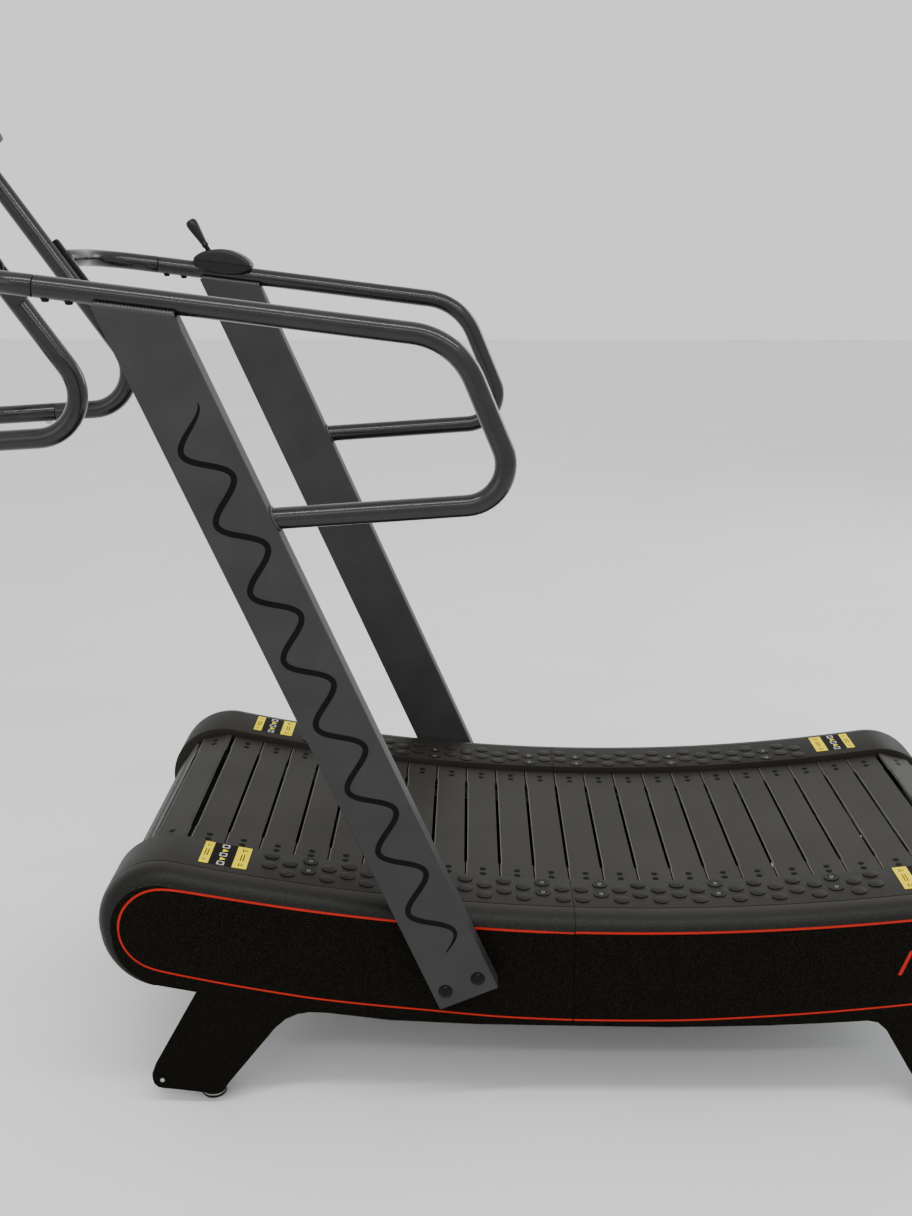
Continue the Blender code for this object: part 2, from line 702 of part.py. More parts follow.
def arm(name, side, look):
    """The hooked tube that rises to the console, with the plate that takes the handrail link."""
    y = side * ARM_Y
    corners = [((-1.052, y, 1.5510), 0), ((-0.7330, y, 1.0926), 0.072), ((-0.930, y, 1.0803), 0)]
    hook = tube(name, bent(corners, 7), ARM_RADIUS, 12, look)
    slope = (Vector((-0.733, 0, 1.0926)) - Vector((-1.052, 0, 1.551))).normalized()
    across = Vector((-slope.z, 0.0, slope.x))
    middle = Vector((-0.9010, 0, 1.3340))
    outline = []
    for a, b in ((-0.050, -0.008), (0.050, -0.008), (0.050, 0.024), (-0.050, 0.024)):
        point = middle + slope * a + across * b
        outline.append((point.x, point.z))
    inner, outer = side * (ARM_Y + ARM_RADIUS - 0.003), side * (ARM_Y + ARM_RADIUS + 0.003)
    plate = prism("plate", outline, min(inner, outer), max(inner, outer), look)
    return combine(hook, plate, "UNION")


def grip_bar(look):
    """The front bar that joins the lower tubes across the front."""
    start = -0.9303
    corners = [((start, -ARM_Y, 1.0802), 0), ((-1.120, -ARM_Y, 1.0682), 0.070)]
    corners += [((-1.120, ARM_Y, 1.0682), 0.070), ((start, ARM_Y, 1.0802), 0)]
    return tube("front_grip_bar", bent(corners, 5), ARM_RADIUS, 12, look)


def console_axes():
    """The console's face normal and its up direction."""
    facing = Vector((math.cos(CONSOLE_TILT), 0.0, math.sin(CONSOLE_TILT)))
    return facing, Vector((-facing.z, 0.0, facing.x))


def console_slab(name, ups, half, depths, corner, look):
    """A slab of the console with cut corners, between two depths along its normal."""
    facing, up = console_axes()
    low, high = ups
    outline = [(-half + corner, low), (half - corner, low), (half, low + corner), (half, high - corner)]
    outline += [(half - corner, high), (-half + corner, high), (-half, high - corner), (-half, low + corner)]
    rings = []
    for depth in depths:
        rings.append([CONSOLE_CENTRE + facing * depth + up * z + Vector((0, y, 0)) for y, z in outline])
    return loft(name, rings, look)


def console(tube_look, black, glass, button_look):
    """Crossbar with its bracket, housing with a sunk lens, and three push buttons."""
    facing, up = console_axes()
    reach = Vector((0, ARM_Y - ARM_RADIUS - 0.0004, 0))
    centre = Vector((-1.0460, 0, 1.5420))
    bar = rod("console_crossbar", centre - reach, centre + reach, 0.0155, 14, tube_look)
    slab = console_slab("bracket", (-0.080, -0.010), 0.045, (-0.0400, -0.0233), 0.004, tube_look)
    combine(bar, slab, "UNION")

    housing = console_slab("console_housing", (-0.085, 0.085), 0.145, (-0.0230, 0.0150), 0.018, black)
    recess = console_slab("recess", (-0.018, 0.066), 0.112, (0.0115, 0.0200), 0.006, black)
    combine(housing, recess, "DIFFERENCE")
    console_slab("console_lens", (-0.0176, 0.0656), 0.1116, (0.0119, 0.0149), 0.006, glass)
    for place_name, y in (("left", -0.045), ("middle", 0.0), ("right", 0.045)):
        name = f"console_button_{place_name}"
        place = CONSOLE_CENTRE + up * -0.048 + Vector((0, y, 0))
        hole = rod("hole", place + facing * 0.006, place + facing * 0.020, 0.0094, 16, black)
        combine(housing, hole, "DIFFERENCE")
        rod(name, place + facing * 0.0085, place + facing * 0.0175, 0.0088, 16, button_look, place)


def lever_housing(black):
    """A lens-shaped shell over the right handrail, slotted for the lever."""
    middle = Vector((-0.651, RAIL_Y, 1.3385))
    slope = Vector((1.0, 0.0, -0.122)).normalized()
    up = Vector((0.122, 0.0, 1.0)).normalized()
    outline = []
    for i in range(17):
        angle = math.pi * 2 * i / 16
        along = 0.056 * math.cos(angle)
        lift = (0.0245 if angle <= math.pi else -0.0215) * math.sin(angle) ** 2
        if i < 16:
            point = middle + slope * along + up * lift
            outline.append((point.x, point.z))
    shell = prism("lever_housing", outline, RAIL_Y - 0.0250, RAIL_Y + 0.0250, black)
    start, end = [Vector((x, RAIL_Y, rail_height(x))) for x in (-0.74, -0.56)]
    combine(shell, rod("channel", start, end, RAIL_RADIUS + 0.0005, 14, black), "DIFFERENCE")
    slot = box("slot", (-0.698, RAIL_Y - 0.0065, 1.330), (-0.628, RAIL_Y + 0.0065, 1.40), black)
    combine(shell, slot, "DIFFERENCE")
    pin = lathe("hole", LEVER_PIVOT, [(RAIL_Y - 0.03, 0.0030), (RAIL_Y + 0.03, 0.0030)], 12, black)
    return combine(shell, pin, "DIFFERENCE")


def lever(black, steel, rubber):
    """The resistance lever: a hub and stem on a cross pin, with a rounded grip."""
    lever_housing(black)
    pivot = Vector((LEVER_PIVOT.x, RAIL_Y, LEVER_PIVOT.z))
    profile = [(RAIL_Y - 0.0240, 0.0026), (RAIL_Y + 0.0240, 0.0026)]
    lathe("lever_pivot_pin", pivot, profile, 12, steel)
    up = Vector((-math.sin(LEVER_LEAN), 0.0, math.cos(LEVER_LEAN)))
    hub = [(RAIL_Y - 0.0058, 0.0105), (RAIL_Y + 0.0058, 0.0105)]
    stem = lathe("lever_stem", pivot, hub, 20, steel, pivot)
    combine(stem, rod("stem", pivot, pivot + up * 0.052, 0.0048, 12, steel), "UNION")
    hole = lathe("hole", pivot, [(RAIL_Y - 0.02, 0.0031), (RAIL_Y + 0.02, 0.0031)], 12, steel)
    combine(stem, hole, "DIFFERENCE")
    rings = []
    profile = [(0.0810, 0.0036), (0.0792, 0.0076), (0.0752, 0.0103), (0.0690, 0.0112), (0.0550, 0.0098)]
    profile += [(0.0240, 0.0074), (0.0240, 0.0051), (0.0530, 0.0051)]
    for height, radius in profile:
        rings.append(rings_along([pivot + up * height, pivot + up * (height + 0.01)], radius, 14)[0])
    return loft("lever_grip", rings, rubber, pivot)


def build():
    clear_scene()
    panel = material("panel_black", (0.012, 0.012, 0.012), 0.55, 0.0)
    deck = material("deck_grey", (0.060, 0.054, 0.047), 0.55, 0.0)
    paint = material("upright_charcoal", (0.055, 0.050, 0.052), 0.50, 0.2)
    pearl = material("tube_gunmetal", (0.060, 0.055, 0.058), 0.32, 0.6)
    steel = material("bright_steel", (0.45, 0.45, 0.46), 0.30, 1.0)
    frame = material("frame_black", (0.015, 0.015, 0.015), 0.50, 0.2)
    rubber = material("rubber_black", (0.02, 0.02, 0.02), 0.80, 0.0)
    plastic = material("plastic_black", (0.02, 0.02, 0.022), 0.40, 0.0)
    glass = material("lens_dark", (0.03, 0.035, 0.04), 0.08, 0.0)
    alloy = material("alloy_grey", (0.35, 0.35, 0.36), 0.35, 1.0)

    belt(deck)
    for name, nose in (("front", -1), ("rear", 1)):
        drum(f"{name}_drum", nose, alloy)
        shaft(f"{name}_shaft", nose, steel)
    brake(steel, plastic)

    for side_name, side in (("left", -1), ("right", 1)):
        plate = side_plate(f"side_plate_{side_name}", side, frame)
        curved_bar(f"step_rail_{side_name}", (-0.570, 0.600), STEP_RAIL, side, frame)
        idler_rail(f"idler_rail_{side_name}", side, alloy)
        for name, nose in (("front", -1), ("rear", 1)):
            shell = cover(f"cover_{name}_{side_name}", nose, side, panel)
            bearing_block(f"bearing_block_{name}_{side_name}", nose, side, frame)
            if nose < 0:
                for point in upright_bolt_points():
                    hole = lathe("hole", point, [(side * 0.36, 0.0056), (side * 0.40, 0.0056)], 12, panel)
                    combine(shell, hole, "DIFFERENCE")
        levelling_foot(f"levelling_foot_front_{side_name}", PAD_X[0], side, rubber)
        levelling_foot(f"levelling_foot_rear_{side_name}", PAD_X[1], side, rubber)
        transport_wheel(f"transport_wheel_{side_name}", f"wheel_bolt_{side_name}", side, rubber, steel)
        upright(f"upright_{side_name}", side, paint)
        upright_bolts(f"upright_bolts_{side_name}", side, steel)
        handrail(f"handrail_{side_name}", side, pearl)
        link_bolts(f"link_bolts_{side_name}", side, steel)
        handrail_link(f"handrail_link_{side_name}", side, pearl)
        arm(f"arm_{side_name}", side, pearl)

    for name, x in (("front", -0.45), ("middle", 0.0), ("rear", 0.45)):
        top = deck_height(x, 0.072) - 0.004
        wall = PLATE_Y[0] - GAP
        box(f"cross_member_{name}", (x - 0.025, -wall, top - 0.050), (x + 0.025, wall, top), frame)
    grip_bar(pearl)
    console(pearl, plastic, glass, rubber)
    lever(plastic, steel, rubber)

    for obj in bpy.data.objects:
        obj.location.x += CENTRE_SHIFT


build()
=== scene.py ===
"""Looks of the curved manual treadmill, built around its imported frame. Metres, +Z up."""

import json
import math

import bmesh
import bpy
from mathutils import Matrix, Vector


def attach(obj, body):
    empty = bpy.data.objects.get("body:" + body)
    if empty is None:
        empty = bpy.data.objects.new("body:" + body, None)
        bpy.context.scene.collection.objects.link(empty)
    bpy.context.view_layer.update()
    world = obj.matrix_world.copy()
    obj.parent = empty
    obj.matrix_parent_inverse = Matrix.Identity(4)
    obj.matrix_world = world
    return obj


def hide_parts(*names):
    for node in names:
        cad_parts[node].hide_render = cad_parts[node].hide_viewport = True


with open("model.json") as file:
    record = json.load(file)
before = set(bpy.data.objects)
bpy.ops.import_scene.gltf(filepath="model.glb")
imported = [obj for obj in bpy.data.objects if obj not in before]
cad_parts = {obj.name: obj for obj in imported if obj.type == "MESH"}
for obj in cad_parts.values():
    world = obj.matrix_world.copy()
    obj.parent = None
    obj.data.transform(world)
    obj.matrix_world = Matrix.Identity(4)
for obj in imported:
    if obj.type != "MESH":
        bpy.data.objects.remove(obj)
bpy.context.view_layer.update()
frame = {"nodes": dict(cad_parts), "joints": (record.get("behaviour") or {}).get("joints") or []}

PIVOTS = {joint["name"]: Vector(joint["pos_m"]) for joint in frame["joints"] if "pos_m" in joint}
NODES = frame["nodes"]

# Deck and belt, in the XZ plane. The centres are the frame's own joints.
DECK_CENTRE = PIVOTS["belt_walk"]
RETURN_CENTRE = PIVOTS["belt_return_walk"]
NOSES = {-1: PIVOTS["front_roller_turn"], 1: PIVOTS["rear_roller_turn"]}
END_NAMES = {-1: "front", 1: "rear"}
SIDE_NAMES = {-1: "left", 1: "right"}
SEAM = (NOSES[-1].x + NOSES[1].x) / 2
HALF = (NOSES[1].x - NOSES[-1].x) / 2
DECK_RADIUS = 3.600
RETURN_RADIUS = 3.4328171
NOSE_RADIUS = 0.103
FRONT_BULGE = 0.0070
GROOVE_COLUMN = 7
BELLY_CENTRE = Vector((SEAM + 0.1226, 0.0, 4.765))
BELLY_RADIUS = 4.611
BELT_DROP = 0.012
CARRIER_DEPTH = 0.01504
CARRIER_RADIUS = 0.0759643
CARRIER_TAIL = 0.014
TOP_SLATS = 22
RETURN_SLATS = 23
WRAP_SLATS = 4

# Widths, as distances from the middle plane.
SLAT_END = 0.2430
LIP_Y = 0.2455
SHOULDER_Y = 0.3450
PANEL_Y = 0.3810
WALL = 0.0025
UPRIGHT_Y = (0.3813, 0.4210)
RAIL_Y = 0.4012
ARM_Y = 0.1700

# Frame tubes.
UPRIGHT_WIDTH = 0.1012
UPRIGHT_FOOT = Vector((SEAM - 0.1700, 0.0, 0.2291))
UPRIGHT_LEAN = math.radians(23.59)
RAIL_SLOPE = 0.122
RAIL_LEVEL = 1.2875
RAIL_LEVEL_X = 0.3918
LOOP_FOOT = (0.0915, 1.0304)
LOOP_FOOT_SLOPE = 0.070
LOOP_MEETS_Z = 1.0085
RAIL_RADIUS = 0.0160
ARM_RADIUS = 0.0165
JOINT_X = SEAM - 0.777
ARM_TOP = (-1.052, 1.5510)
ARM_HEEL = (-0.7330, 1.0926)
BAR_REAR_Z = 1.0802
BAR_FRONT_Z = 1.0682

# Feet and wheels.
FOOT_PLACES = {"front": SEAM - 0.600, "rear": SEAM + 0.627}
FOOT_Y = 0.342
WHEEL_CENTRE = Vector((SEAM - 0.678, 0.0, 0.048))
ROLLER_PITCH = 0.130

X_AXIS = Vector((1, 0, 0))
Y_AXIS = Vector((0, 1, 0))
Z_AXIS = Vector((0, 0, 1))


# ---------------------------------------------------------------- mesh tools


class Shape:
    """Closed shells gathered for one piece, each with the number of its material."""

    def __init__(self):
        self.points = []
        self.faces = []
        self.looks = []

    def add(self, shell, look=0):
        points, faces = shell
        start = len(self.points)
        self.points += [tuple(point) for point in points]
        self.faces += [tuple(index + start for index in face) for face in faces]
        self.looks += [look] * len(faces)

    def build(self, name, body, looks, slot, replaces=(), bevel=0.0, smooth=32):
        """The piece as an object that rides on a body, with rounded edges where a bevel is given."""
        mesh = bpy.data.meshes.new(name)
        mesh.from_pydata(self.points, [], self.faces)
        mesh.polygons.foreach_set("material_index", self.looks)
        work = bmesh.new()
        work.from_mesh(mesh)
        bmesh.ops.recalc_face_normals(work, faces=work.faces)
        work.to_mesh(mesh)
        work.free()
        for look in looks:
            mesh.materials.append(LOOKS[look])
        mesh.shade_smooth()
        mesh.set_sharp_from_angle(angle=math.radians(smooth))
        obj = bpy.data.objects.new(name, mesh)
        bpy.context.scene.collection.objects.link(obj)
        if bevel:
            round_edges(obj, bevel)
        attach(obj, body)
        if replaces:
            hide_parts(*replaces)
        return obj


def round_edges(obj, width):
    """A bevel on the sharp edges only, with flat faces kept flat to the eye."""
    modifier = obj.modifiers.new("rounded_edges", "BEVEL")
    modifier.width = width
    modifier.segments = 2
    modifier.limit_method = "ANGLE"
    modifier.angle_limit = math.radians(30)
    modifier.use_clamp_overlap = True
    modifier.harden_normals = True


def lofted(rings, closed=False):
    """A skin over rings of equal length, capped at both ends unless the rings close on themselves."""
    count = len(rings[0])
    points = [point for ring in rings for point in ring]
    faces = []
    last = len(rings) if closed else len(rings) - 1
    for i in range(last):
        low = i * count
        high = (i + 1) % len(rings) * count
        for j in range(count):
            k = (j + 1) % count
            faces.append((low + j, low + k, high + k, high + j))
    if not closed:
        faces.append(tuple(range(count))[::-1])
        faces.append(tuple(range(last * count, last * count + count)))
    return points, faces


def frame_at(origin, along, up=Z_AXIS):
    """A local frame whose Z runs along a direction and whose X is square to it, near to up."""
    z = Vector(along).normalized()
    x = Vector(up) - z * z.dot(Vector(up))
    if x.length < 1e-6:
        x = X_AXIS - z * z.dot(X_AXIS)
    x.normalize()
    y = z.cross(x)
    return Matrix.Translation(origin) @ Matrix((x, y, z)).transposed().to_4x4()


def turned(profile, place, sides, turn=0.0):
    """A profile of (radius, height) points turned about the local Z of a frame."""
    rings = []
    for radius, height in profile:
        ring = []
        for i in range(sides):
            angle = math.tau * i / sides + turn
            ring.append(place @ Vector((radius * math.cos(angle), radius * math.sin(angle), height)))
        rings.append(ring)
    return lofted(rings)


def ring_turned(profile, place, sides):
    """A closed (radius, height) profile turned into a ring."""
    rings = []
    for i in range(sides):
        angle = math.tau * i / sides
        across = Vector((math.cos(angle), math.sin(angle), 0))
        rings.append([place @ (across * radius + Z_AXIS * height) for radius, height in profile])
    return lofted(rings, closed=True)


def prism(outline, place, low, high):
    """A local (x, y) outline extruded between two local heights."""
    return lofted([[place @ Vector((x, y, z)) for x, y in outline] for z in (low, high)])


def rectangle(x, y, half_x, half_y):
    """The four corners of a 2-D rectangle about a middle."""
    return [(x + a * half_x, y + b * half_y) for a, b in ((-1, -1), (1, -1), (1, 1), (-1, 1))]


def side_prism(outline, low, high):
    """An (x, z) outline extruded along Y."""
    return lofted([[Vector((x, y, z)) for x, z in outline] for y in (low, high)])


def rounded(corners, radius, steps=4):
    """A 2-D outline with its corners rounded. A corner may carry its own radius as a third value."""
    outline = []
    for i, corner in enumerate(corners):
        point = Vector(corner[:2])
        wanted = corner[2] if len(corner) > 2 else radius
        back = Vector(corners[i - 1][:2]) - point
        ahead = Vector(corners[(i + 1) % len(corners)][:2]) - point
        half = back.angle(ahead) / 2
        reach = min(wanted / math.tan(half), 0.48 * back.length, 0.48 * ahead.length)
        if wanted == 0 or reach < 1e-6:
            outline.append(tuple(point))
            continue
        start, end = point + back.normalized() * reach, point + ahead.normalized() * reach
        for k in range(steps + 1):
            t = k / steps
            outline.append(tuple(start * (1 - t) ** 2 + point * 2 * t * (1 - t) + end * t**2))
    return outline


def rings_along(path, radii, sides):
    """Rings of points around a path, carried along it without twist."""
    first = (path[1] - path[0]).normalized()
    side = first.cross(Y_AXIS)
    if side.length < 0.01:
        side = first.cross(X_AXIS)
    side.normalize()
    rings = []
    for i, point in enumerate(path):
        before = (point - path[i - 1]).normalized() if i else first
        after = (path[i + 1] - point).normalized() if i + 1 < len(path) else before
        along = (before + after).normalized()
        side = (side - along * side.dot(along)).normalized()
        other = along.cross(side)
        radius = radii[i] if isinstance(radii, list) else radii
        turns = [math.tau * j / sides for j in range(sides)]
        rings.append([point + radius * (math.cos(t) * side + math.sin(t) * other) for t in turns])
    return rings


def bent(corners, steps):
    """A path through (point, bend radius) corners, with each bend as an arc."""
    path = [Vector(corners[0][0])]
    for i in range(1, len(corners) - 1):
        corner, radius = Vector(corners[i][0]), corners[i][1]
        back = (Vector(corners[i - 1][0]) - corner).normalized()
        ahead = (Vector(corners[i + 1][0]) - corner).normalized()
        half = back.angle(ahead) / 2
        centre = corner + (back + ahead).normalized() * radius / math.sin(half)
        start = corner + back * radius / math.tan(half)
        axis = back.cross(ahead).normalized()
        turn = math.pi - 2 * half
        for k in range(steps + 1):
            path.append(centre + Matrix.Rotation(-turn * k / steps, 3, axis) @ (start - centre))
    path.append(Vector(corners[-1][0]))
    return path


def tube(path, radius, sides=28, edge=0.0012):
    """A round tube with softened rims at both ends."""
    first = (path[1] - path[0]).normalized() * edge
    last = (path[-1] - path[-2]).normalized() * edge
    path = [path[0], path[0] + first] + path[1:-1] + [path[-1] - last, path[-1]]
    radii = [radius - edge * 0.8] + [radius] * (len(path) - 2) + [radius - edge * 0.8]
    return lofted(rings_along(path, radii, sides))


def bead(path, radius, ripple=0.16, closed=False):
    """A weld bead: a thin tube with the even ripples of a weld pool."""
    spaced = []
    count = len(path) if closed else len(path) - 1
    for i in range(count):
        start, end = path[i], path[(i + 1) % len(path)]
        parts = max(1, round((end - start).length / 0.0012))
        spaced += [start.lerp(end, k / parts) for k in range(parts)]
    if not closed:
        spaced.append(path[-1])
    radii = [radius * (1 + ripple * math.sin(i * math.tau / 4)) for i in range(len(spaced))]
    return lofted(rings_along(spaced, radii, 8), closed)


# ---------------------------------------------------------------- deck profile


def deck_angle(x):
    return math.asin((x - DECK_CENTRE.x) / DECK_RADIUS)


def on_deck(x, drop=0.0):
    """The point and outward normal of the deck profile above or below a place along it."""
    angle = deck_angle(x)
    away = Vector((math.sin(angle), 0.0, -math.cos(angle)))
    return DECK_CENTRE + (DECK_RADIUS + drop) * away, -away


def nose_tangent(end):
    """The angle about the deck's centre at which the deck meets a nose."""
    return math.asin((NOSES[end].x - DECK_CENTRE.x) / (DECK_RADIUS + NOSE_RADIUS))


def belly_height(x, raised=0.0):
    return BELLY_CENTRE.z - math.sqrt((BELLY_RADIUS - raised) ** 2 - (x - BELLY_CENTRE.x) ** 2)


def nose_sweep(end):
    """The first angle of a nose's arc, and its turn down to the belly."""
    tangent = nose_tangent(end)
    gap = HALF - end * (BELLY_CENTRE.x - SEAM)
    belly = math.asin(gap / (BELLY_RADIUS - NOSE_RADIUS))
    return math.pi / 2 + tangent, math.pi + abs(tangent) - belly


# ---------------------------------------------------------------- materials


def nodes_of(name):
    made = bpy.data.materials.new(name)
    made.use_nodes = True
    tree = made.node_tree
    return made, tree, tree.nodes["Principled BSDF"]


def noise(tree, scale, detail=3.0, stretch=(1, 1, 1)):
    """A noise texture in the object's own metres."""
    place = tree.nodes.new("ShaderNodeTexCoord")
    mapping = tree.nodes.new("ShaderNodeMapping")
    mapping.inputs["Scale"].default_value = stretch
    texture = tree.nodes.new("ShaderNodeTexNoise")
    texture.inputs["Scale"].default_value = scale
    texture.inputs["Detail"].default_value = detail
    tree.links.new(place.outputs["Object"], mapping.inputs["Vector"])
    tree.links.new(mapping.outputs["Vector"], texture.inputs["Vector"])
    return texture.outputs["Fac"]


def ramp(tree, value, stops):
    """Colours read off a value, from (position, colour) stops."""
    node = tree.nodes.new("ShaderNodeValToRGB")
    elements = node.color_ramp.elements
    for i, (position, colour) in enumerate(stops):
        element = elements[i] if i < 2 else elements.new(position)
        element.position = position
        element.color = (*colour, 1.0)
    tree.links.new(value, node.inputs["Fac"])
    return node.outputs["Color"]


def ranged(tree, value, low, high, start=0.3, stop=0.7):
    node = tree.nodes.new("ShaderNodeMapRange")
    node.inputs["From Min"].default_value = start
    node.inputs["From Max"].default_value = stop
    node.inputs["To Min"].default_value = low
    node.inputs["To Max"].default_value = high
    tree.links.new(value, node.inputs["Value"])
    return node.outputs["Result"]


def mixed(tree, factor, first, second):
    """Two colours mixed by a factor. Each is a socket or a colour."""
    node = tree.nodes.new("ShaderNodeMix")
    node.data_type = "RGBA"
    for value, socket in ((factor, node.inputs[0]), (first, node.inputs[6]), (second, node.inputs[7])):
        if isinstance(value, tuple):
            socket.default_value = (*value, 1.0)
        elif isinstance(value, float):
            socket.default_value = value
        else:
            tree.links.new(value, socket)
    return node.outputs[2]


def bumped(tree, shader, value, depth):
    node = tree.nodes.new("ShaderNodeBump")
    node.inputs["Distance"].default_value = depth
    node.inputs["Strength"].default_value = 1.0
    tree.links.new(value, node.inputs["Height"])
    tree.links.new(node.outputs["Normal"], shader.inputs["Normal"])


def shade(colour, factor):
    return tuple(channel * factor for channel in colour)


def finish_look(name, colour, rough, metallic=0.0, patch=9.0, vary=0.14, grain=700.0, depth=0.00006,
                coat=0.0, specular=0.5, stretch=(1, 1, 1)):
    """A moulded, painted or rubber surface: slow colour drift, fine grain and uneven gloss."""
    made, tree, shader = nodes_of(name)
    drift = noise(tree, patch, 5.0)
    fine = noise(tree, grain, 2.0, stretch)
    tone = ramp(tree, drift, [(0.30, shade(colour, 1 - vary)), (0.70, shade(colour, 1 + vary))])
    tree.links.new(tone, shader.inputs["Base Color"])
    tree.links.new(ranged(tree, fine, rough[0], rough[1]), shader.inputs["Roughness"])
    bumped(tree, shader, fine, depth)
    shader.inputs["Metallic"].default_value = metallic
    shader.inputs["Coat Weight"].default_value = coat
    shader.inputs["Coat Roughness"].default_value = 0.25
    shader.inputs["Specular IOR Level"].default_value = specular
    return made


SPECKS = [(0.42, (0.0003, 0.0003, 0.0002)),
          (0.56, (0.0026, 0.0021, 0.0010)),
          (0.70, (0.0240, 0.0200, 0.0100))]


def cover_look(name, specular):
    """Side covers: warm grey moulded steps that darken over the shoulder to a speckled black side."""
    made, tree, shader = nodes_of(name)
    place = tree.nodes.new("ShaderNodeTexCoord")
    split = tree.nodes.new("ShaderNodeSeparateXYZ")
    distance = tree.nodes.new("ShaderNodeMath")
    distance.operation = "ABSOLUTE"
    tree.links.new(place.outputs["Object"], split.inputs["Vector"])
    tree.links.new(split.outputs["Y"], distance.inputs[0])
    side = ranged(tree, distance.outputs[0], 0.0, 1.0, SHOULDER_Y + 0.010, PANEL_Y - 0.010)
    drift = noise(tree, 7.0, 5.0)
    step = ramp(tree, drift, [(0.30, (0.0130, 0.0117, 0.0092)), (0.70, (0.0176, 0.0159, 0.0126))])
    specks = noise(tree, 640.0, 2.0)
    black = ramp(tree, specks, SPECKS)
    tree.links.new(mixed(tree, side, step, black), shader.inputs["Base Color"])
    grain = noise(tree, 900.0, 3.0)
    tree.links.new(ranged(tree, grain, 0.40, 0.56), shader.inputs["Roughness"])
    bumped(tree, shader, grain, 0.00010)
    shader.inputs["Specular IOR Level"].default_value = specular
    return made


def panel_look():
    """Speckled black powder coat, as on the covers' sides."""
    made, tree, shader = nodes_of("panel_speckled")
    tree.links.new(ramp(tree, noise(tree, 640.0, 2.0), SPECKS), shader.inputs["Base Color"])
    grain = noise(tree, 900.0, 3.0)
    tree.links.new(ranged(tree, grain, 0.50, 0.66), shader.inputs["Roughness"])
    bumped(tree, shader, grain, 0.00010)
    shader.inputs["Specular IOR Level"].default_value = 0.04
    return made


def slat_look():
    """Slat facing: smooth matt rubber with faint scuffs along each slat."""
    made, tree, shader = nodes_of("slat_rubber")
    drift = noise(tree, 5.0, 5.0)
    scuffs = noise(tree, 60.0, 4.0, (6.0, 0.6, 1.0))
    tone = ramp(tree, drift, [(0.30, (0.0205, 0.0190, 0.0152)), (0.70, (0.0275, 0.0254, 0.0206))])
    worn = ranged(tree, scuffs, 0.0, 0.22, 0.52, 0.80)
    tree.links.new(mixed(tree, worn, tone, (0.040, 0.0375, 0.0315)), shader.inputs["Base Color"])
    grain = noise(tree, 1100.0, 2.0)
    tree.links.new(ranged(tree, grain, 0.42, 0.56), shader.inputs["Roughness"])
    bumped(tree, shader, grain, 0.00005)
    shader.inputs["Specular IOR Level"].default_value = 0.12
    return made


def pearl_look():
    """Tube paint: dark gunmetal with a pearl flake and a thin clear coat."""
    made, tree, shader = nodes_of("tube_gunmetal")
    place = tree.nodes.new("ShaderNodeTexCoord")
    flake = tree.nodes.new("ShaderNodeTexVoronoi")
    flake.inputs["Scale"].default_value = 1400.0
    tree.links.new(place.outputs["Object"], flake.inputs["Vector"])
    drift = noise(tree, 30.0, 4.0)
    base = ramp(tree, drift, [(0.30, (0.010, 0.0092, 0.0092)), (0.70, (0.015, 0.0136, 0.0136))])
    spark = ranged(tree, flake.outputs["Distance"], 0.35, 0.0, 0.0, 0.5)
    tree.links.new(mixed(tree, spark, base, (0.095, 0.087, 0.087)), shader.inputs["Base Color"])
    peel = noise(tree, 260.0, 2.0)
    tree.links.new(ranged(tree, peel, 0.27, 0.31), shader.inputs["Roughness"])
    bumped(tree, shader, peel, 0.000012)
    shader.inputs["Metallic"].default_value = 0.50
    shader.inputs["Specular IOR Level"].default_value = 0.30
    shader.inputs["Coat Weight"].default_value = 0.50
    shader.inputs["Coat IOR"].default_value = 1.38
    shader.inputs["Coat Roughness"].default_value = 0.11
    return made


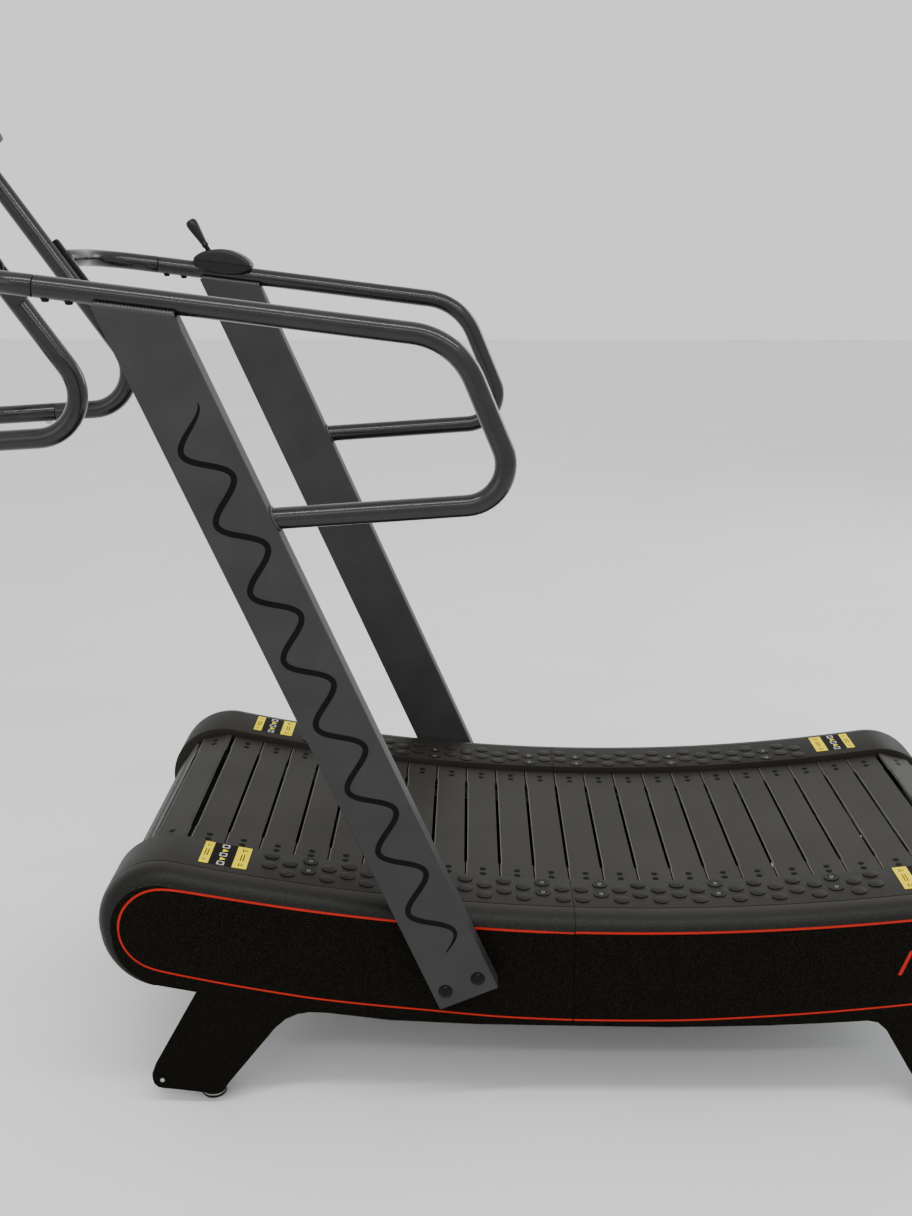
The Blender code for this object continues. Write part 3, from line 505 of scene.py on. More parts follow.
def make_looks():
    """Every material, by the name that the pieces use."""
    return {
        "cover": cover_look("cover_moulded", 0.10),
        "shoulder": cover_look("cover_shoulder", 0.22),
        "panel": panel_look(),
        "slat": slat_look(),
        # Slat plate colour, much lighter than the facing: it shows as a light line along one edge of each
        # slat, a painted highlight.
        "slat_edge_painted_highlight": finish_look("slat_edge_painted_highlight", (0.098, 0.090, 0.073), (0.36, 0.50), grain=400.0,
                                 specular=0.2),
        "pad": finish_look("tread_pad", (0.0153, 0.0138, 0.0109), (0.40, 0.56), grain=900.0, specular=0.10),
        # Pad walls and screw recess floors: near-black, painted shade for the shadow at each pad's edge and
        # in each recess.
        "pad_painted_shade": finish_look("tread_pad_painted_shade", (0.0015, 0.0014, 0.0012), (0.60, 0.80), specular=0.05),
        "pearl": pearl_look(),
        # Weld beads get a lighter colour than the paint around them: a painted highlight along each bead.
        "weld": finish_look("weld_painted_highlight", (0.045, 0.041, 0.042), (0.34, 0.50), 0.45, grain=300.0,
                            depth=0.0002, coat=0.2, specular=0.3),
        "upright": finish_look("upright_powder_coat", (0.0285, 0.0265, 0.0275), (0.42, 0.56), 0.10,
                               patch=14.0, grain=520.0, depth=0.00010, specular=0.22),
        "motif": finish_look("motif_black", (0.0030, 0.0026, 0.0026), (0.55, 0.70), grain=500.0,
                             specular=0.08),
        "frame": finish_look("frame_black", (0.0060, 0.0057, 0.0052), (0.45, 0.62), 0.10, grain=480.0,
                             depth=0.00012, specular=0.2),
        "red": finish_look("stripe_red", (0.36, 0.012, 0.006), (0.40, 0.50), grain=300.0, vary=0.08,
                           specular=0.12),
        "yellow": finish_look("label_yellow", (0.84, 0.66, 0.0), (0.42, 0.54), grain=300.0, vary=0.05,
                              specular=0.05),
        # Ink for print and black parts, also used as painted shade in screw recesses and sockets.
        "ink": finish_look("ink_and_painted_recess_shade", (0.0030, 0.0027, 0.0025), (0.45, 0.60), grain=300.0, specular=0.06),
        "white": finish_look("label_white", (0.42, 0.41, 0.39), (0.40, 0.55), grain=300.0, vary=0.05,
                             specular=0.15),
        "black_screw": finish_look("screw_black", (0.0030, 0.0030, 0.0030), (0.18, 0.32), 0.0, grain=600.0,
                                   specular=0.12),
        "dull_screw": finish_look("screw_dull", (0.15, 0.15, 0.145), (0.36, 0.50), 1.0, grain=520.0,
                                  vary=0.10, depth=0.00004),
        "steel": finish_look("zinc_steel", (0.42, 0.42, 0.41), (0.26, 0.42), 1.0, grain=520.0,
                             vary=0.10, depth=0.00004),
        "brushed": finish_look("turned_steel", (0.36, 0.36, 0.36), (0.24, 0.40), 1.0, grain=300.0,
                               vary=0.10, depth=0.00005, stretch=(1, 9, 1)),
        "alloy": finish_look("alloy_satin", (0.34, 0.34, 0.35), (0.34, 0.50), 1.0, grain=420.0,
                             vary=0.08, depth=0.00006),
        "rubber": finish_look("rubber_black", (0.0090, 0.0085, 0.0085), (0.62, 0.82), grain=640.0,
                              depth=0.00012, specular=0.15),
        "plastic": finish_look("plastic_black", (0.0050, 0.0050, 0.0054), (0.30, 0.44), grain=1000.0,
                               depth=0.00008, specular=0.28),
        "plastic_edge": finish_look("plastic_rim", (0.060, 0.059, 0.059), (0.26, 0.38), grain=900.0),
        "lens": finish_look("lens_dark", (0.008, 0.010, 0.012), (0.04, 0.09), grain=200.0, depth=0.00001,
                            coat=1.0),
        "segment": finish_look("display_segment", (0.050, 0.058, 0.054), (0.20, 0.30), grain=200.0),
    }


# ---------------------------------------------------------------- belt


def slat_plan():
    """Half-widths along a slat: full width in the notched middle gap, wider at both ends."""
    half, wide, end = 0.0267, 0.0282, SLAT_END
    step_at = end - 0.068
    corners = [(-wide, -end, 0.004), (-wide, -step_at - 0.003, 0.0015), (-half, -step_at, 0.0015)]
    corners += [(-half, step_at, 0.0015), (-wide, step_at + 0.003, 0.0015), (-wide, end, 0.004)]
    corners += [(-a, -b, radius) for a, b, radius in corners]
    return rounded(corners, 0.0, 3)


def slat_frame(point, normal):
    """A frame on a slat's outer face: local X along the belt, local Y across it, Z outward."""
    along = Y_AXIS.cross(normal)
    return Matrix.Translation(point) @ Matrix((along, Y_AXIS, normal)).transposed().to_4x4()


def screw_head(shape, place, radius, lift, look):
    """A low button head with a hexagon socket, standing on a surface."""
    recess = 0.45
    profile = [(radius * 0.80, -0.002), (radius, -0.0002), (radius, lift * 0.35)]
    profile += [(radius * 0.86, lift * 0.72), (radius * 0.62, lift * 0.95), (radius * recess * 1.12, lift)]
    shape.add(turned(profile, place, 20), look)
    socket = [(radius * recess, lift - 0.0012), (radius * recess, lift + 0.00005)]
    shape.add(turned(socket, place, 6), look)


def add_slat(shape, point, normal):
    """One slat: a rubber-faced plate on an alloy web, and two screws near each end."""
    place = slat_frame(point, normal)
    plan = slat_plan()
    facing = [(x + 0.0017 if x < 0 else x, y) for x, y in plan]
    # The plate is lighter than the facing, which stops short of it on one side, so a light line runs along
    # each slat: a painted highlight.
    shape.add(prism(plan, place, -0.0045, -0.0006), 1)
    shape.add(prism(facing, place, -0.0008, 0.0), 0)
    under = [(x * 0.985, y * 0.997) for x, y in plan]
    shape.add(prism(under, place, -0.0072, -0.0044), 2)
    shape.add(prism(rectangle(0, 0, 0.006, 0.236), place, -0.0150, -0.0070), 2)
    for side in (-1, 1):
        for y in (0.2000, 0.2175):
            at = place @ Matrix.Translation((0, side * y, 0))
            screw_head(shape, at, 0.0056, 0.0007, 3)


def belt_group(name, body, node, centre, radius, inward, angles, ends):
    """A rigid group of slats on two carrier strips, about a centre."""
    shape = Shape()
    for angle in angles:
        away = Vector((math.sin(angle), 0.0, -math.cos(angle)))
        add_slat(shape, centre + away * radius, away * -inward)
    count = max(12, 3 * len(angles))
    for side in (-1, 1):
        rings = []
        for i in range(count + 1):
            angle = ends[0] + (ends[1] - ends[0]) * i / count
            away = Vector((math.sin(angle), 0.0, -math.cos(angle)))
            point, normal = centre + away * radius, away * -inward
            section = ((0.187, 0.0135), (0.213, 0.0135), (0.213, 0.0165), (0.187, 0.0165))
            rings.append([point - normal * depth + Y_AXIS * side * y for y, depth in section])
        shape.add(lofted(rings), 4)
    looks = ("slat", "slat_edge_painted_highlight", "alloy", "ink", "rubber")
    return shape.build(name, body, looks, "slat", (node,))


def make_belt():
    carrier = DECK_RADIUS + BELT_DROP + CARRIER_DEPTH
    front, rear = nose_tangent(-1), nose_tangent(1)
    step = (rear - front) / TOP_SLATS
    angles = [front + step * (i + 0.5) for i in range(TOP_SLATS)]
    end = CARRIER_TAIL / carrier
    belt_group("belt_slats_top", "belt_top", "belt_top_run", DECK_CENTRE, DECK_RADIUS + BELT_DROP, 1,
               angles, (angles[0] - end, angles[-1] + end))

    reach = RETURN_RADIUS - NOSE_RADIUS + BELT_DROP
    first = math.asin((NOSES[-1].x - RETURN_CENTRE.x) / reach)
    last = math.asin((NOSES[1].x - RETURN_CENTRE.x) / reach)
    step = (last - first) / RETURN_SLATS
    angles = [first + step * (i + 0.5) for i in range(RETURN_SLATS)]
    end = CARRIER_TAIL / (RETURN_RADIUS - CARRIER_DEPTH)
    belt_group("belt_slats_return", "belt_return", "belt_return_run", RETURN_CENTRE, RETURN_RADIUS, -1,
               angles, (angles[0] - end, angles[-1] + end))

    for end_name, nose, top, bottom in (("front", -1, front, first), ("rear", 1, rear, last)):
        begin = math.pi + top
        step = (bottom + (math.tau if nose < 0 else 0) - begin) / WRAP_SLATS
        angles = [begin + step * (i + 0.5) for i in range(WRAP_SLATS)]
        end = math.copysign(CARRIER_TAIL / CARRIER_RADIUS, step)
        belt_group(f"belt_slats_{end_name}", f"{end_name}_roller", f"belt_{end_name}_wrap", NOSES[nose],
                   NOSE_RADIUS - BELT_DROP, -1, angles, (angles[0] - end, angles[-1] + end))


# ---------------------------------------------------------------- side covers


def cover_outline(shoulder):
    """Half of a cover's cross-section as (distance from the middle, depth) points, lip to side."""
    flat_end = PANEL_Y - 0.0360 * shoulder
    points = [(LIP_Y, -0.0200), (LIP_Y, -0.0016), (LIP_Y + 0.0005, -0.0005), (LIP_Y + 0.0018, 0.0)]
    groove = flat_end - 0.0016
    points += [(groove - 0.0011, 0.0), (groove - 0.0007, -0.0011), (groove + 0.0007, -0.0011)]
    points += [(groove + 0.0011, -0.0002)]
    drop = 0.0260 * shoulder
    across = PANEL_Y - flat_end - 0.0006
    for i in range(9):
        angle = math.pi / 2 * (1 - i / 8)
        y = PANEL_Y - across + across * math.cos(angle)
        points.append((y, -drop + (drop - 0.0002) * math.sin(angle)))
    return points


def cover_stations(end):
    """Points, outward normals and shoulder sizes around one cover half, from the seam to the belly."""
    stations = []
    top = deck_angle(SEAM + end * 0.0004)
    tangent = nose_tangent(end)
    for i in range(25):
        angle = top + (tangent - top) * i / 24
        away = Vector((math.sin(angle), 0.0, -math.cos(angle)))
        normal = -away if i else Z_AXIS.copy()
        stations.append((DECK_CENTRE + away * DECK_RADIUS, normal, 1.0))
    first, turn = nose_sweep(end)
    for i in range(1, 37):
        angle = first - end * turn * i / 36
        normal = Vector((math.cos(angle), 0.0, math.sin(angle)))
        shrink = max(0.0, (i - 22) / 14)
        bulge = FRONT_BULGE * math.sin(math.pi * i / 36) if end < 0 else 0.0
        stations.append((NOSES[end] + (NOSE_RADIUS + bulge) * normal, normal, 1.0 - 0.92 * shrink))
    return stations


def make_cover(end, side):
    """One half of a side cover: step, groove, rounded shoulder and flat side, as a thin shell."""
    outer, inner = [], []
    for point, normal, shoulder in cover_stations(end):
        row = cover_outline(shoulder)
        outer.append([point + normal * drop + Y_AXIS * side * y for y, drop in row])
        shell = []
        for y, drop in row:
            depth = drop if drop < -0.0190 and y < 0.25 else min(drop, 0.0) - WALL * (y < PANEL_Y - 0.001)
            shell.append((max(LIP_Y + WALL, min(y, PANEL_Y - WALL)), depth))
        inner.append([point + normal * drop + Y_AXIS * side * y for y, drop in shell])
    count = len(outer[0])
    points = []
    for first, second in zip(outer, inner):
        points += first + second
    faces = []
    for i in range(len(outer) - 1):
        low, high = i * 2 * count, (i + 1) * 2 * count
        for j in range(count - 1):
            faces.append((low + j, low + j + 1, high + j + 1, high + j))
            faces.append((low + count + j, high + count + j, high + count + j + 1, low + count + j + 1))
        faces.append((low, high, high + count, low + count))
    last = (len(outer) - 1) * 2 * count
    belly = []
    for i in range(1, 15):
        x = SEAM + end * ((HALF - 0.02) * (1 - i / 14) + 0.0004)
        z = belly_height(x, 0.0004)
        belly.append(len(points))
        points.append(Vector((x, side * PANEL_Y, z)))
        points.append(Vector((x, side * (PANEL_Y - WALL), z)))
    outer_edge = [i * 2 * count + count - 1 for i in range(len(outer))] + belly
    inner_edge = [i * 2 * count + 2 * count - 1 for i in range(len(outer))] + [i + 1 for i in belly]
    faces.append(tuple(outer_edge))
    faces.append(tuple(inner_edge)[::-1])
    for i in range(len(outer) - 1, len(outer_edge) - 1):
        faces.append((outer_edge[i], outer_edge[i + 1], inner_edge[i + 1], inner_edge[i]))
    faces.append(tuple(range(last, last + count)) + tuple(range(last + count, last + 2 * count))[::-1])
    seam = tuple(range(count)) + (belly[-1], belly[-1] + 1)
    faces.append(seam + tuple(range(count, 2 * count))[::-1])
    shape = Shape()
    shape.add((points, faces))
    name = f"cover_{END_NAMES[end]}_{SIDE_NAMES[side]}"
    looks = ("cover", "shoulder", "panel")
    cover = shape.build(f"{name}_shell", "base", looks, "cover", (name,), smooth=38)
    strips = 2 * (count - 1) + 1
    for index, face in enumerate(cover.data.polygons):
        if index >= (len(outer) - 1) * strips:
            face.material_index = 2
        elif index % strips >= 2 * GROOVE_COLUMN:
            face.material_index = 1
    return cover


def pad_columns(end):
    """The pad columns of one cover half: place along the deck, and distances from the middle."""
    for k in range(16):
        rows = (0.2635, 0.2980) if k % 2 else (0.2810, 0.3165)
        yield k, SEAM + end * (0.016 + 0.0322 * k), rows


def make_pads(end, side):
    """The raised round treads on one cover half, and the bright screws that hold it down. The pads' walls
    and the floors of the screw recesses are near-black as painted shade.
    """
    pads, screws = Shape(), Shape()
    for k, x, rows in pad_columns(end):
        point, normal = on_deck(x)
        for y in rows:
            place = frame_at(point + Y_AXIS * side * y, normal, X_AXIS)
            if k in (1, 7, 13):
                rim = [(0.0052, -0.0010), (0.0124, -0.0010), (0.0124, 0.0012), (0.0122, 0.0014)]
                rim += [(0.0056, 0.0014), (0.0052, 0.0011)]
                pads.add(ring_turned(rim, place, 36), 0)
                # Pad wall and the floor of the screw recess, both near-black as painted shade.
                pads.add(ring_turned([(0.0110, -0.0010), (0.0125, -0.0010), (0.0125, 0.0011),
                                      (0.0110, 0.0011)], place, 36), 1)
                pads.add(turned([(0.0056, -0.0008), (0.0056, 0.0004)], place, 20), 1)
                head = [(0.0036, 0.0000), (0.0041, 0.0010), (0.0037, 0.0016), (0.0024, 0.0020)]
                screws.add(turned(head, place, 24), 0)
                # The cross recess is drawn as a dark cross standing on the head: painted shade in the
                # recess.
                cross = rectangle(0, 0, 0.0019, 0.0005)
                screws.add(prism(cross, place, 0.0008, 0.00203), 1)
                tall = [(b, a) for a, b in cross]
                screws.add(prism(tall, place, 0.0008, 0.00203), 1)
            else:
                # Pad wall near-black as painted shade, under the pad's top.
                pads.add(turned([(0.0125, -0.0010), (0.0125, 0.0011)], place, 36), 1)
                pads.add(turned([(0.0124, 0.0008), (0.0124, 0.0013), (0.0122, 0.0014)], place, 36), 0)
    where = f"{END_NAMES[end]}_{SIDE_NAMES[side]}"
    pads.build(f"treads_{where}", "base", ("pad", "pad_painted_shade"), "cover")
    screws.build(f"tread_screws_{where}", "base", ("dull_screw", "ink"), "bare_steel")


STRIPE_DROP = {-1: ((0.0, 0.0268), (0.30, 0.0262), (0.55, 0.0270), (0.662, 0.0290)),
               1: ((0.0, 0.0256), (0.30, 0.0248), (0.55, 0.0256), (0.662, 0.0290))}
BELLY_RISE = ((-0.552, 0.0340), (-0.496, 0.0300), (-0.429, 0.0260), (-0.233, 0.0170), (-0.048, 0.0155),
              (0.066, 0.0115), (0.184, 0.0110), (0.381, 0.0130), (0.477, 0.0165), (0.734, 0.0255),
              (0.905, 0.0330))


def read_off(table, value):
    """A value read off a table of (place, value) rows, straight between the rows."""
    for (low, first), (high, second) in zip(table, table[1:]):
        if value <= high:
            return first + (second - first) * max(0.0, (value - low) / (high - low))
    return table[-1][1]


def stripe_path(end):
    """The middle line of the painted stripe on one cover half, in the XZ plane."""
    path = []
    meet = DECK_CENTRE.x + DECK_RADIUS * math.sin(nose_tangent(end))
    for i in range(41):
        x = SEAM + end * 0.0010 + (meet - SEAM - end * 0.0010) * i / 40
        drop = read_off(STRIPE_DROP[end], abs(x - SEAM))
        path.append(on_deck(x, drop)[0])
    first, turn = nose_sweep(end)
    radius = NOSE_RADIUS - 0.0290
    stop = NOSES[end].x + end * 0.004
    for i in range(1, 33):
        t = i / 32
        angle = first - end * turn * t
        shrink = radius - 0.0016 * math.sin(math.pi * t)
        point = NOSES[end] + shrink * Vector((math.cos(angle), 0.0, math.sin(angle)))
        if point.z > NOSES[end].z or end * (point.x - stop) > 0:
            path.append(point)
    for i in range(60):
        x = stop + (SEAM + end * 0.0012 - stop) * i / 59
        path.append(Vector((x, 0, belly_height(x) + read_off(BELLY_RISE, x))))
    for _ in range(8):
        eased = [(a + b * 2 + c) / 4 for a, b, c in zip(path, path[1:], path[2:])]
        path = [path[0]] + eased + [path[-1]]
    return path


def make_stripe(end, side):
    """The red line painted around the edge of one cover half."""
    path = stripe_path(end)
    rings = []
    low, high = sorted((side * (PANEL_Y - 0.0003), side * (PANEL_Y + 0.0003)))
    for i, point in enumerate(path):
        before = path[max(i - 1, 0)]
        after = path[min(i + 1, len(path) - 1)]
        along = (after - before).normalized()
        width = 0.0019 if point.z > NOSES[end].z else 0.0015
        across = Vector((-along.z, 0, along.x)) * width
        first, second = point - across, point + across
        section = ((first, low), (second, low), (second, high), (first, high))
        rings.append([Vector((spot.x, y, spot.z)) for spot, y in section])
    shape = Shape()
    shape.add(lofted(rings))
    name = f"stripe_{END_NAMES[end]}_{SIDE_NAMES[side]}"
    shape.build(name, "base", ("red",), "cover", smooth=50)


def sheet(shape, xs, ys, low, high, look, side, count=8):
    """A thin sheet laid on the deck profile between two places along it."""
    rings = []
    for i in range(count + 1):
        point, normal = on_deck(xs[0] + (xs[1] - xs[0]) * i / count)
        section = ((ys[0], low), (ys[1], low), (ys[1], high), (ys[0], high))
        rings.append([point + normal * drop + Y_AXIS * side * y for y, drop in section])
    shape.add(lofted(rings), look)


def triangle(size):
    return [(size * math.cos(math.tau * i / 3), size * math.sin(math.tau * i / 3)) for i in range(3)]


def make_label(end, side):
    """The warning label on a step: yellow ends with plain signs, and a dark middle."""
    shape = Shape()
    outer = {-1: -0.4254, 1: 0.8010}[end]
    inner_y = 0.2500 if side < 0 else 0.2680
    ys = (inner_y, inner_y + 0.0765)
    inward = -end
    marks = [outer, outer + inward * 0.0160, outer + inward * 0.0545, outer + inward * 0.0785]
    sheet(shape, sorted((marks[0], marks[3])), ys, -0.0004, 0.00020, 1, side)
    sheet(shape, sorted((marks[0] + inward * 0.0008, marks[1])), (ys[0] + 0.0008, ys[1] - 0.0008),
          0.0001, 0.00030, 0, side, 3)
    sheet(shape, sorted((marks[2], marks[3] - inward * 0.0008)), (ys[0] + 0.0008, ys[1] - 0.0008),
          0.0001, 0.00030, 0, side, 3)
    middle = (ys[0] + ys[1]) / 2
    for place_x, size in ((marks[0] + inward * 0.0082, 0.0050), (marks[2] + inward * 0.0120, 0.0066)):
        point, normal = on_deck(place_x)
        for offset in (-0.026, 0.026):
            place = frame_at(point + Y_AXIS * side * (middle + offset), normal, X_AXIS)
            corners = triangle(size)
            shape.add(prism(rounded(corners, 0.0008, 2), place, 0.0002, 0.00040), 1)
            small = [(a * 0.52, b * 0.52) for a, b in corners]
            shape.add(prism(rounded(small, 0.0004, 2), place, 0.0003, 0.00048), 0)
        bar = frame_at(point + Y_AXIS * side * middle, normal, X_AXIS)
        for shift in (-0.0022, 0.0022):
            shape.add(prism(rectangle(shift, 0, 0.0009, 0.012), bar, 0.0002, 0.00040), 1)
    point, normal = on_deck((marks[1] + marks[2]) / 2)
    for offset in (-0.030, 0.0, 0.030):
        place = frame_at(point + Y_AXIS * side * (middle + offset), normal, X_AXIS)
        square = rectangle(0, 0, 0.0062, 0.0062)
        shape.add(prism(rounded(square, 0.0008, 2), place, 0.0001, 0.00030), 2)
        shape.add(turned([(0.0042, 0.0002), (0.0042, 0.00038)], place, 24), 1)
    for offset in (-0.015, 0.015):
        place = frame_at(point + Y_AXIS * side * (middle + offset), normal, X_AXIS)
        shape.add(prism(rounded(triangle(0.0066), 0.0008, 2), place, 0.0001, 0.00030), 0)
    looks = ("yellow", "ink", "white")
    shape.build(f"label_{END_NAMES[end]}_{SIDE_NAMES[side]}", "base", looks, "cover", smooth=50)


def make_side_motif(side):
    """Three slanted red bars near the rear of the side, in place of any lettering."""
    shape = Shape()
    low, high = sorted((side * (PANEL_Y - 0.0003), side * (PANEL_Y + 0.0002)))
    bottom, top, slant = 0.252, 0.296, 0.016
    for i, width in enumerate((0.0060, 0.0100, 0.0160)):
        left = 0.706 + 0.030 * i
        outline = [(left, bottom), (left + width, bottom), (left + width + slant, top), (left + slant, top)]
        shape.add(side_prism(rounded(outline, 0.0015, 3), low, high))
    shape.build(f"side_motif_{SIDE_NAMES[side]}", "base", ("red",), "cover", smooth=50)


def make_covers():
    for side in (-1, 1):
        for end in (-1, 1):
            make_cover(end, side)
            make_pads(end, side)
            make_stripe(end, side)
            make_label(end, side)
        make_side_motif(side)


# ---------------------------------------------------------------- uprights


def lean():
    return Vector((-math.sin(UPRIGHT_LEAN), 0.0, math.cos(UPRIGHT_LEAN)))


def upright_across():
    up = lean()
    return Vector((up.z, 0.0, -up.x))


def upright_bolt_points():
    return [Vector((SEAM - 0.2072, 0.0, 0.2425)), Vector((SEAM - 0.1561, 0.0, 0.2656))]


def rail_height(x):
    """The height of the handrail's middle line over a point."""
    return RAIL_LEVEL - RAIL_SLOPE * (x - SEAM + RAIL_LEVEL_X)


def upright_top():
    """A point on the plane that cuts the upright's top, and the plane's normal."""
    slope = Vector((1.0, 0.0, -RAIL_SLOPE)).normalized()
    return Vector((SEAM, 0.0, rail_height(SEAM) - 0.01645)), Vector((-slope.z, 0.0, slope.x))


def upright_ring(outline, middle, top, stretch):
    """An (across, y) outline of the upright slid to its top cut or its bottom."""
    up, across = lean(), upright_across()
    plane, normal = upright_top()
    ring = []
    for a, y in outline:
        point = UPRIGHT_FOOT + across * a + Vector((0, middle + y, 0))
        if top:
            point = point + up * (plane + normal * stretch - point).dot(normal) / up.dot(normal)
        else:
            point = point - up * stretch
        ring.append(point)
    return ring


def make_upright(side):
    """A rectangular tube with rolled edges, a cap at each end and a tab at its bottom."""
    name = SIDE_NAMES[side]
    middle = side * (UPRIGHT_Y[0] + UPRIGHT_Y[1]) / 2
    depth = (UPRIGHT_Y[1] - UPRIGHT_Y[0]) / 2
    half = UPRIGHT_WIDTH / 2
    outer = rounded(rectangle(0, 0, half, depth), 0.0042, 5)
    thin = 0.0030
    inner = rounded(rectangle(0, 0, half - thin, depth - thin), 0.0014, 5)
    rings = [upright_ring(outer, middle, False, 0.0), upright_ring(outer, middle, True, 0.0),
             upright_ring(inner, middle, True, 0.0), upright_ring(inner, middle, False, 0.0)]
    shape = Shape()
    shape.add(lofted(rings, closed=True), 0)
    cap = [(a * 0.985, y * 0.96) for a, y in inner]
    for at_top, sunk, look in ((True, -0.0004, 0), (False, -0.0006, 1)):
        shape.add(lofted([upright_ring(cap, middle, at_top, stretch) for stretch in (-0.0040, sunk)]), look)
    up, across = lean(), upright_across()
    tab = []
    for a, b in ((-0.007, 0.001), (0.007, 0.001), (0.006, -0.0030), (-0.006, -0.0030)):
        tab.append(UPRIGHT_FOOT + across * (a - 0.004) + up * b)
    low, high = sorted((side * 0.3990, side * 0.4050))
    shape.add(side_prism([(p.x, p.z) for p in tab], low, high), 1)
    looks = ("upright", "frame")
    shape.build(f"upright_tube_{name}", "base", looks, "upright_paint", (f"upright_{name}",), bevel=0.0006)


def make_upright_motif(side):
    """A plain painted wave up the outer face, in place of any lettering."""
    up, across = lean(), upright_across()
    base = Vector((UPRIGHT_FOOT.x, 0, UPRIGHT_FOOT.z))
    low, high = sorted((side * (UPRIGHT_Y[1] - 0.0003), side * (UPRIGHT_Y[1] + 0.0002)))
    steps = 420
    middle = []
    for k in range(steps + 1):
        t = k / steps
        middle.append(Vector((0.0270 * math.sin(math.tau * 8.25 * t), 0.090 + 0.930 * t)))
    rings = []
    for k, point in enumerate(middle):
        along = (middle[min(k + 1, steps)] - middle[max(k - 1, 0)]).normalized()
        taper = math.sin(math.pi * min(1.0, (k + 4) / 30, (steps - k + 4) / 30) / 2)
        wide = Vector((-along.y, along.x)) * 0.0044 * taper
        ring = []
        for sign, y in ((-1, low), (1, low), (1, high), (-1, high)):
            spot = point + wide * sign
            ring.append(base + across * spot.x + up * spot.y + Y_AXIS * y)
        rings.append(ring)
    shape = Shape()
    shape.add(lofted(rings))
    shape.build(f"upright_motif_{SIDE_NAMES[side]}", "base", ("motif",), "upright_paint", smooth=50)


def make_upright_bolts(side):
    """Two glossy dome bolts with washers outside, and the nut plate behind."""
    shape = Shape()
    name = SIDE_NAMES[side]
    first, second = upright_bolt_points()
    along = (second - first).normalized()
    across = Vector((-along.z, 0.0, along.x))
    corners = []
    for a, b in ((-0.016, -0.014), (0.072, -0.014), (0.072, 0.014), (-0.016, 0.014)):
        point = first + along * a + across * b
        corners.append((point.x, point.z, 0.003))
    inner = 0.3717
    low, high = sorted((side * inner, side * (inner - 0.006)))
    shape.add(side_prism(rounded(corners, 0.003, 4), low, high), 1)
    out = Y_AXIS * side
    for point in (first, second):
        place = frame_at(point + out * UPRIGHT_Y[1], out, Z_AXIS)
        shape.add(turned([(0.0112, 0.0000), (0.0112, 0.0010), (0.0104, 0.0014)], place, 32), 0)
        dome = [(0.0094, 0.0012), (0.0098, 0.0018)]
        dome += [(0.0098 * math.cos(t), 0.0018 + 0.0038 * math.sin(t)) for t in (0.35, 0.7, 1.0, 1.25, 1.45)]
        shape.add(turned(dome, place, 32), 0)
        shape.add(turned([(0.0048, 0.0004 - 0.0590), (0.0048, 0.0008)], place, 16), 1)
        back = frame_at(point + out * (inner - 0.0055), -out, Z_AXIS)
        shape.add(turned([(0.0098, 0.0), (0.0098, 0.0040), (0.0086, 0.0048)], back, 6), 1)
    looks = ("black_screw", "steel")
    node = f"upright_bolts_{name}"
    shape.build(f"upright_fixings_{name}", "base", looks, "bare_steel", (node,), smooth=40)


def make_upright_welds(side):
    """Weld beads where the handrail sits on the upright and comes back to it."""
    shape = Shape()
    name = SIDE_NAMES[side]
    y = side * RAIL_Y
    up = lean()
    for offset in (-0.0160, 0.0160):
        path = []
        for i in range(2):
            across = upright_across() * (-UPRIGHT_WIDTH / 2 + 0.004 if i == 0 else UPRIGHT_WIDTH / 2 - 0.001)
            plane, normal = upright_top()
            point = UPRIGHT_FOOT + across + Vector((0, y + offset, 0))
            point = point + up * (plane - point).dot(normal) / up.dot(normal)
            path.append(point + Z_AXIS * 0.0024)
        # Bead in the lighter weld colour, a painted highlight.
        shape.add(bead(path, 0.0048, 0.08), 0)
    rear, normal = upright_rear()
    low_end = loop_end(y)
    path = rail_path(side)
    along = (path[-1] - path[-2]).normalized()
    ring = rings_along([low_end - along * 0.02, low_end], RAIL_RADIUS + 0.0008, 40)[1]
    ring = [p + along * (rear + normal * 0.0012 - p).dot(normal) / along.dot(normal) for p in ring]
    shape.add(bead(ring, 0.0020, closed=True), 0)
    shape.build(f"upright_welds_{name}", "base", ("weld",), "tube_paint", smooth=60)


# ---------------------------------------------------------------- handrails and arms


def upright_rear():
    """A point on the plane of the upright's rear face, and the plane's normal."""
    rear = UPRIGHT_FOOT + Vector((UPRIGHT_WIDTH / 2 / math.cos(UPRIGHT_LEAN), 0, 0))
    return rear, Vector((math.cos(UPRIGHT_LEAN), 0.0, math.sin(UPRIGHT_LEAN)))


def loop_end(y):
    """Where the hand loop's lower end meets the upright's rear face."""
    rear = upright_rear()[0]
    x = rear.x - (LOOP_MEETS_Z - rear.z) * math.tan(UPRIGHT_LEAN)
    return Vector((x, y, LOOP_FOOT[1] + LOOP_FOOT_SLOPE * (x - SEAM + LOOP_FOOT[0])))


def rail_path(side):
    """The hand loop's middle line, from its joint with the link back to the upright."""
    y = side * RAIL_Y
    corners = [((JOINT_X, y, rail_height(JOINT_X)), 0), ((SEAM - 0.189, y, 1.2627), 0.110)]
    corners += [((SEAM - LOOP_FOOT[0], y, LOOP_FOOT[1]), 0.060), (loop_end(y), 0)]
    return bent(corners, 14)


def link_bolt_points(y):
    return [Vector((x, y, rail_height(x))) for x in (JOINT_X + 0.014, JOINT_X + 0.047)]


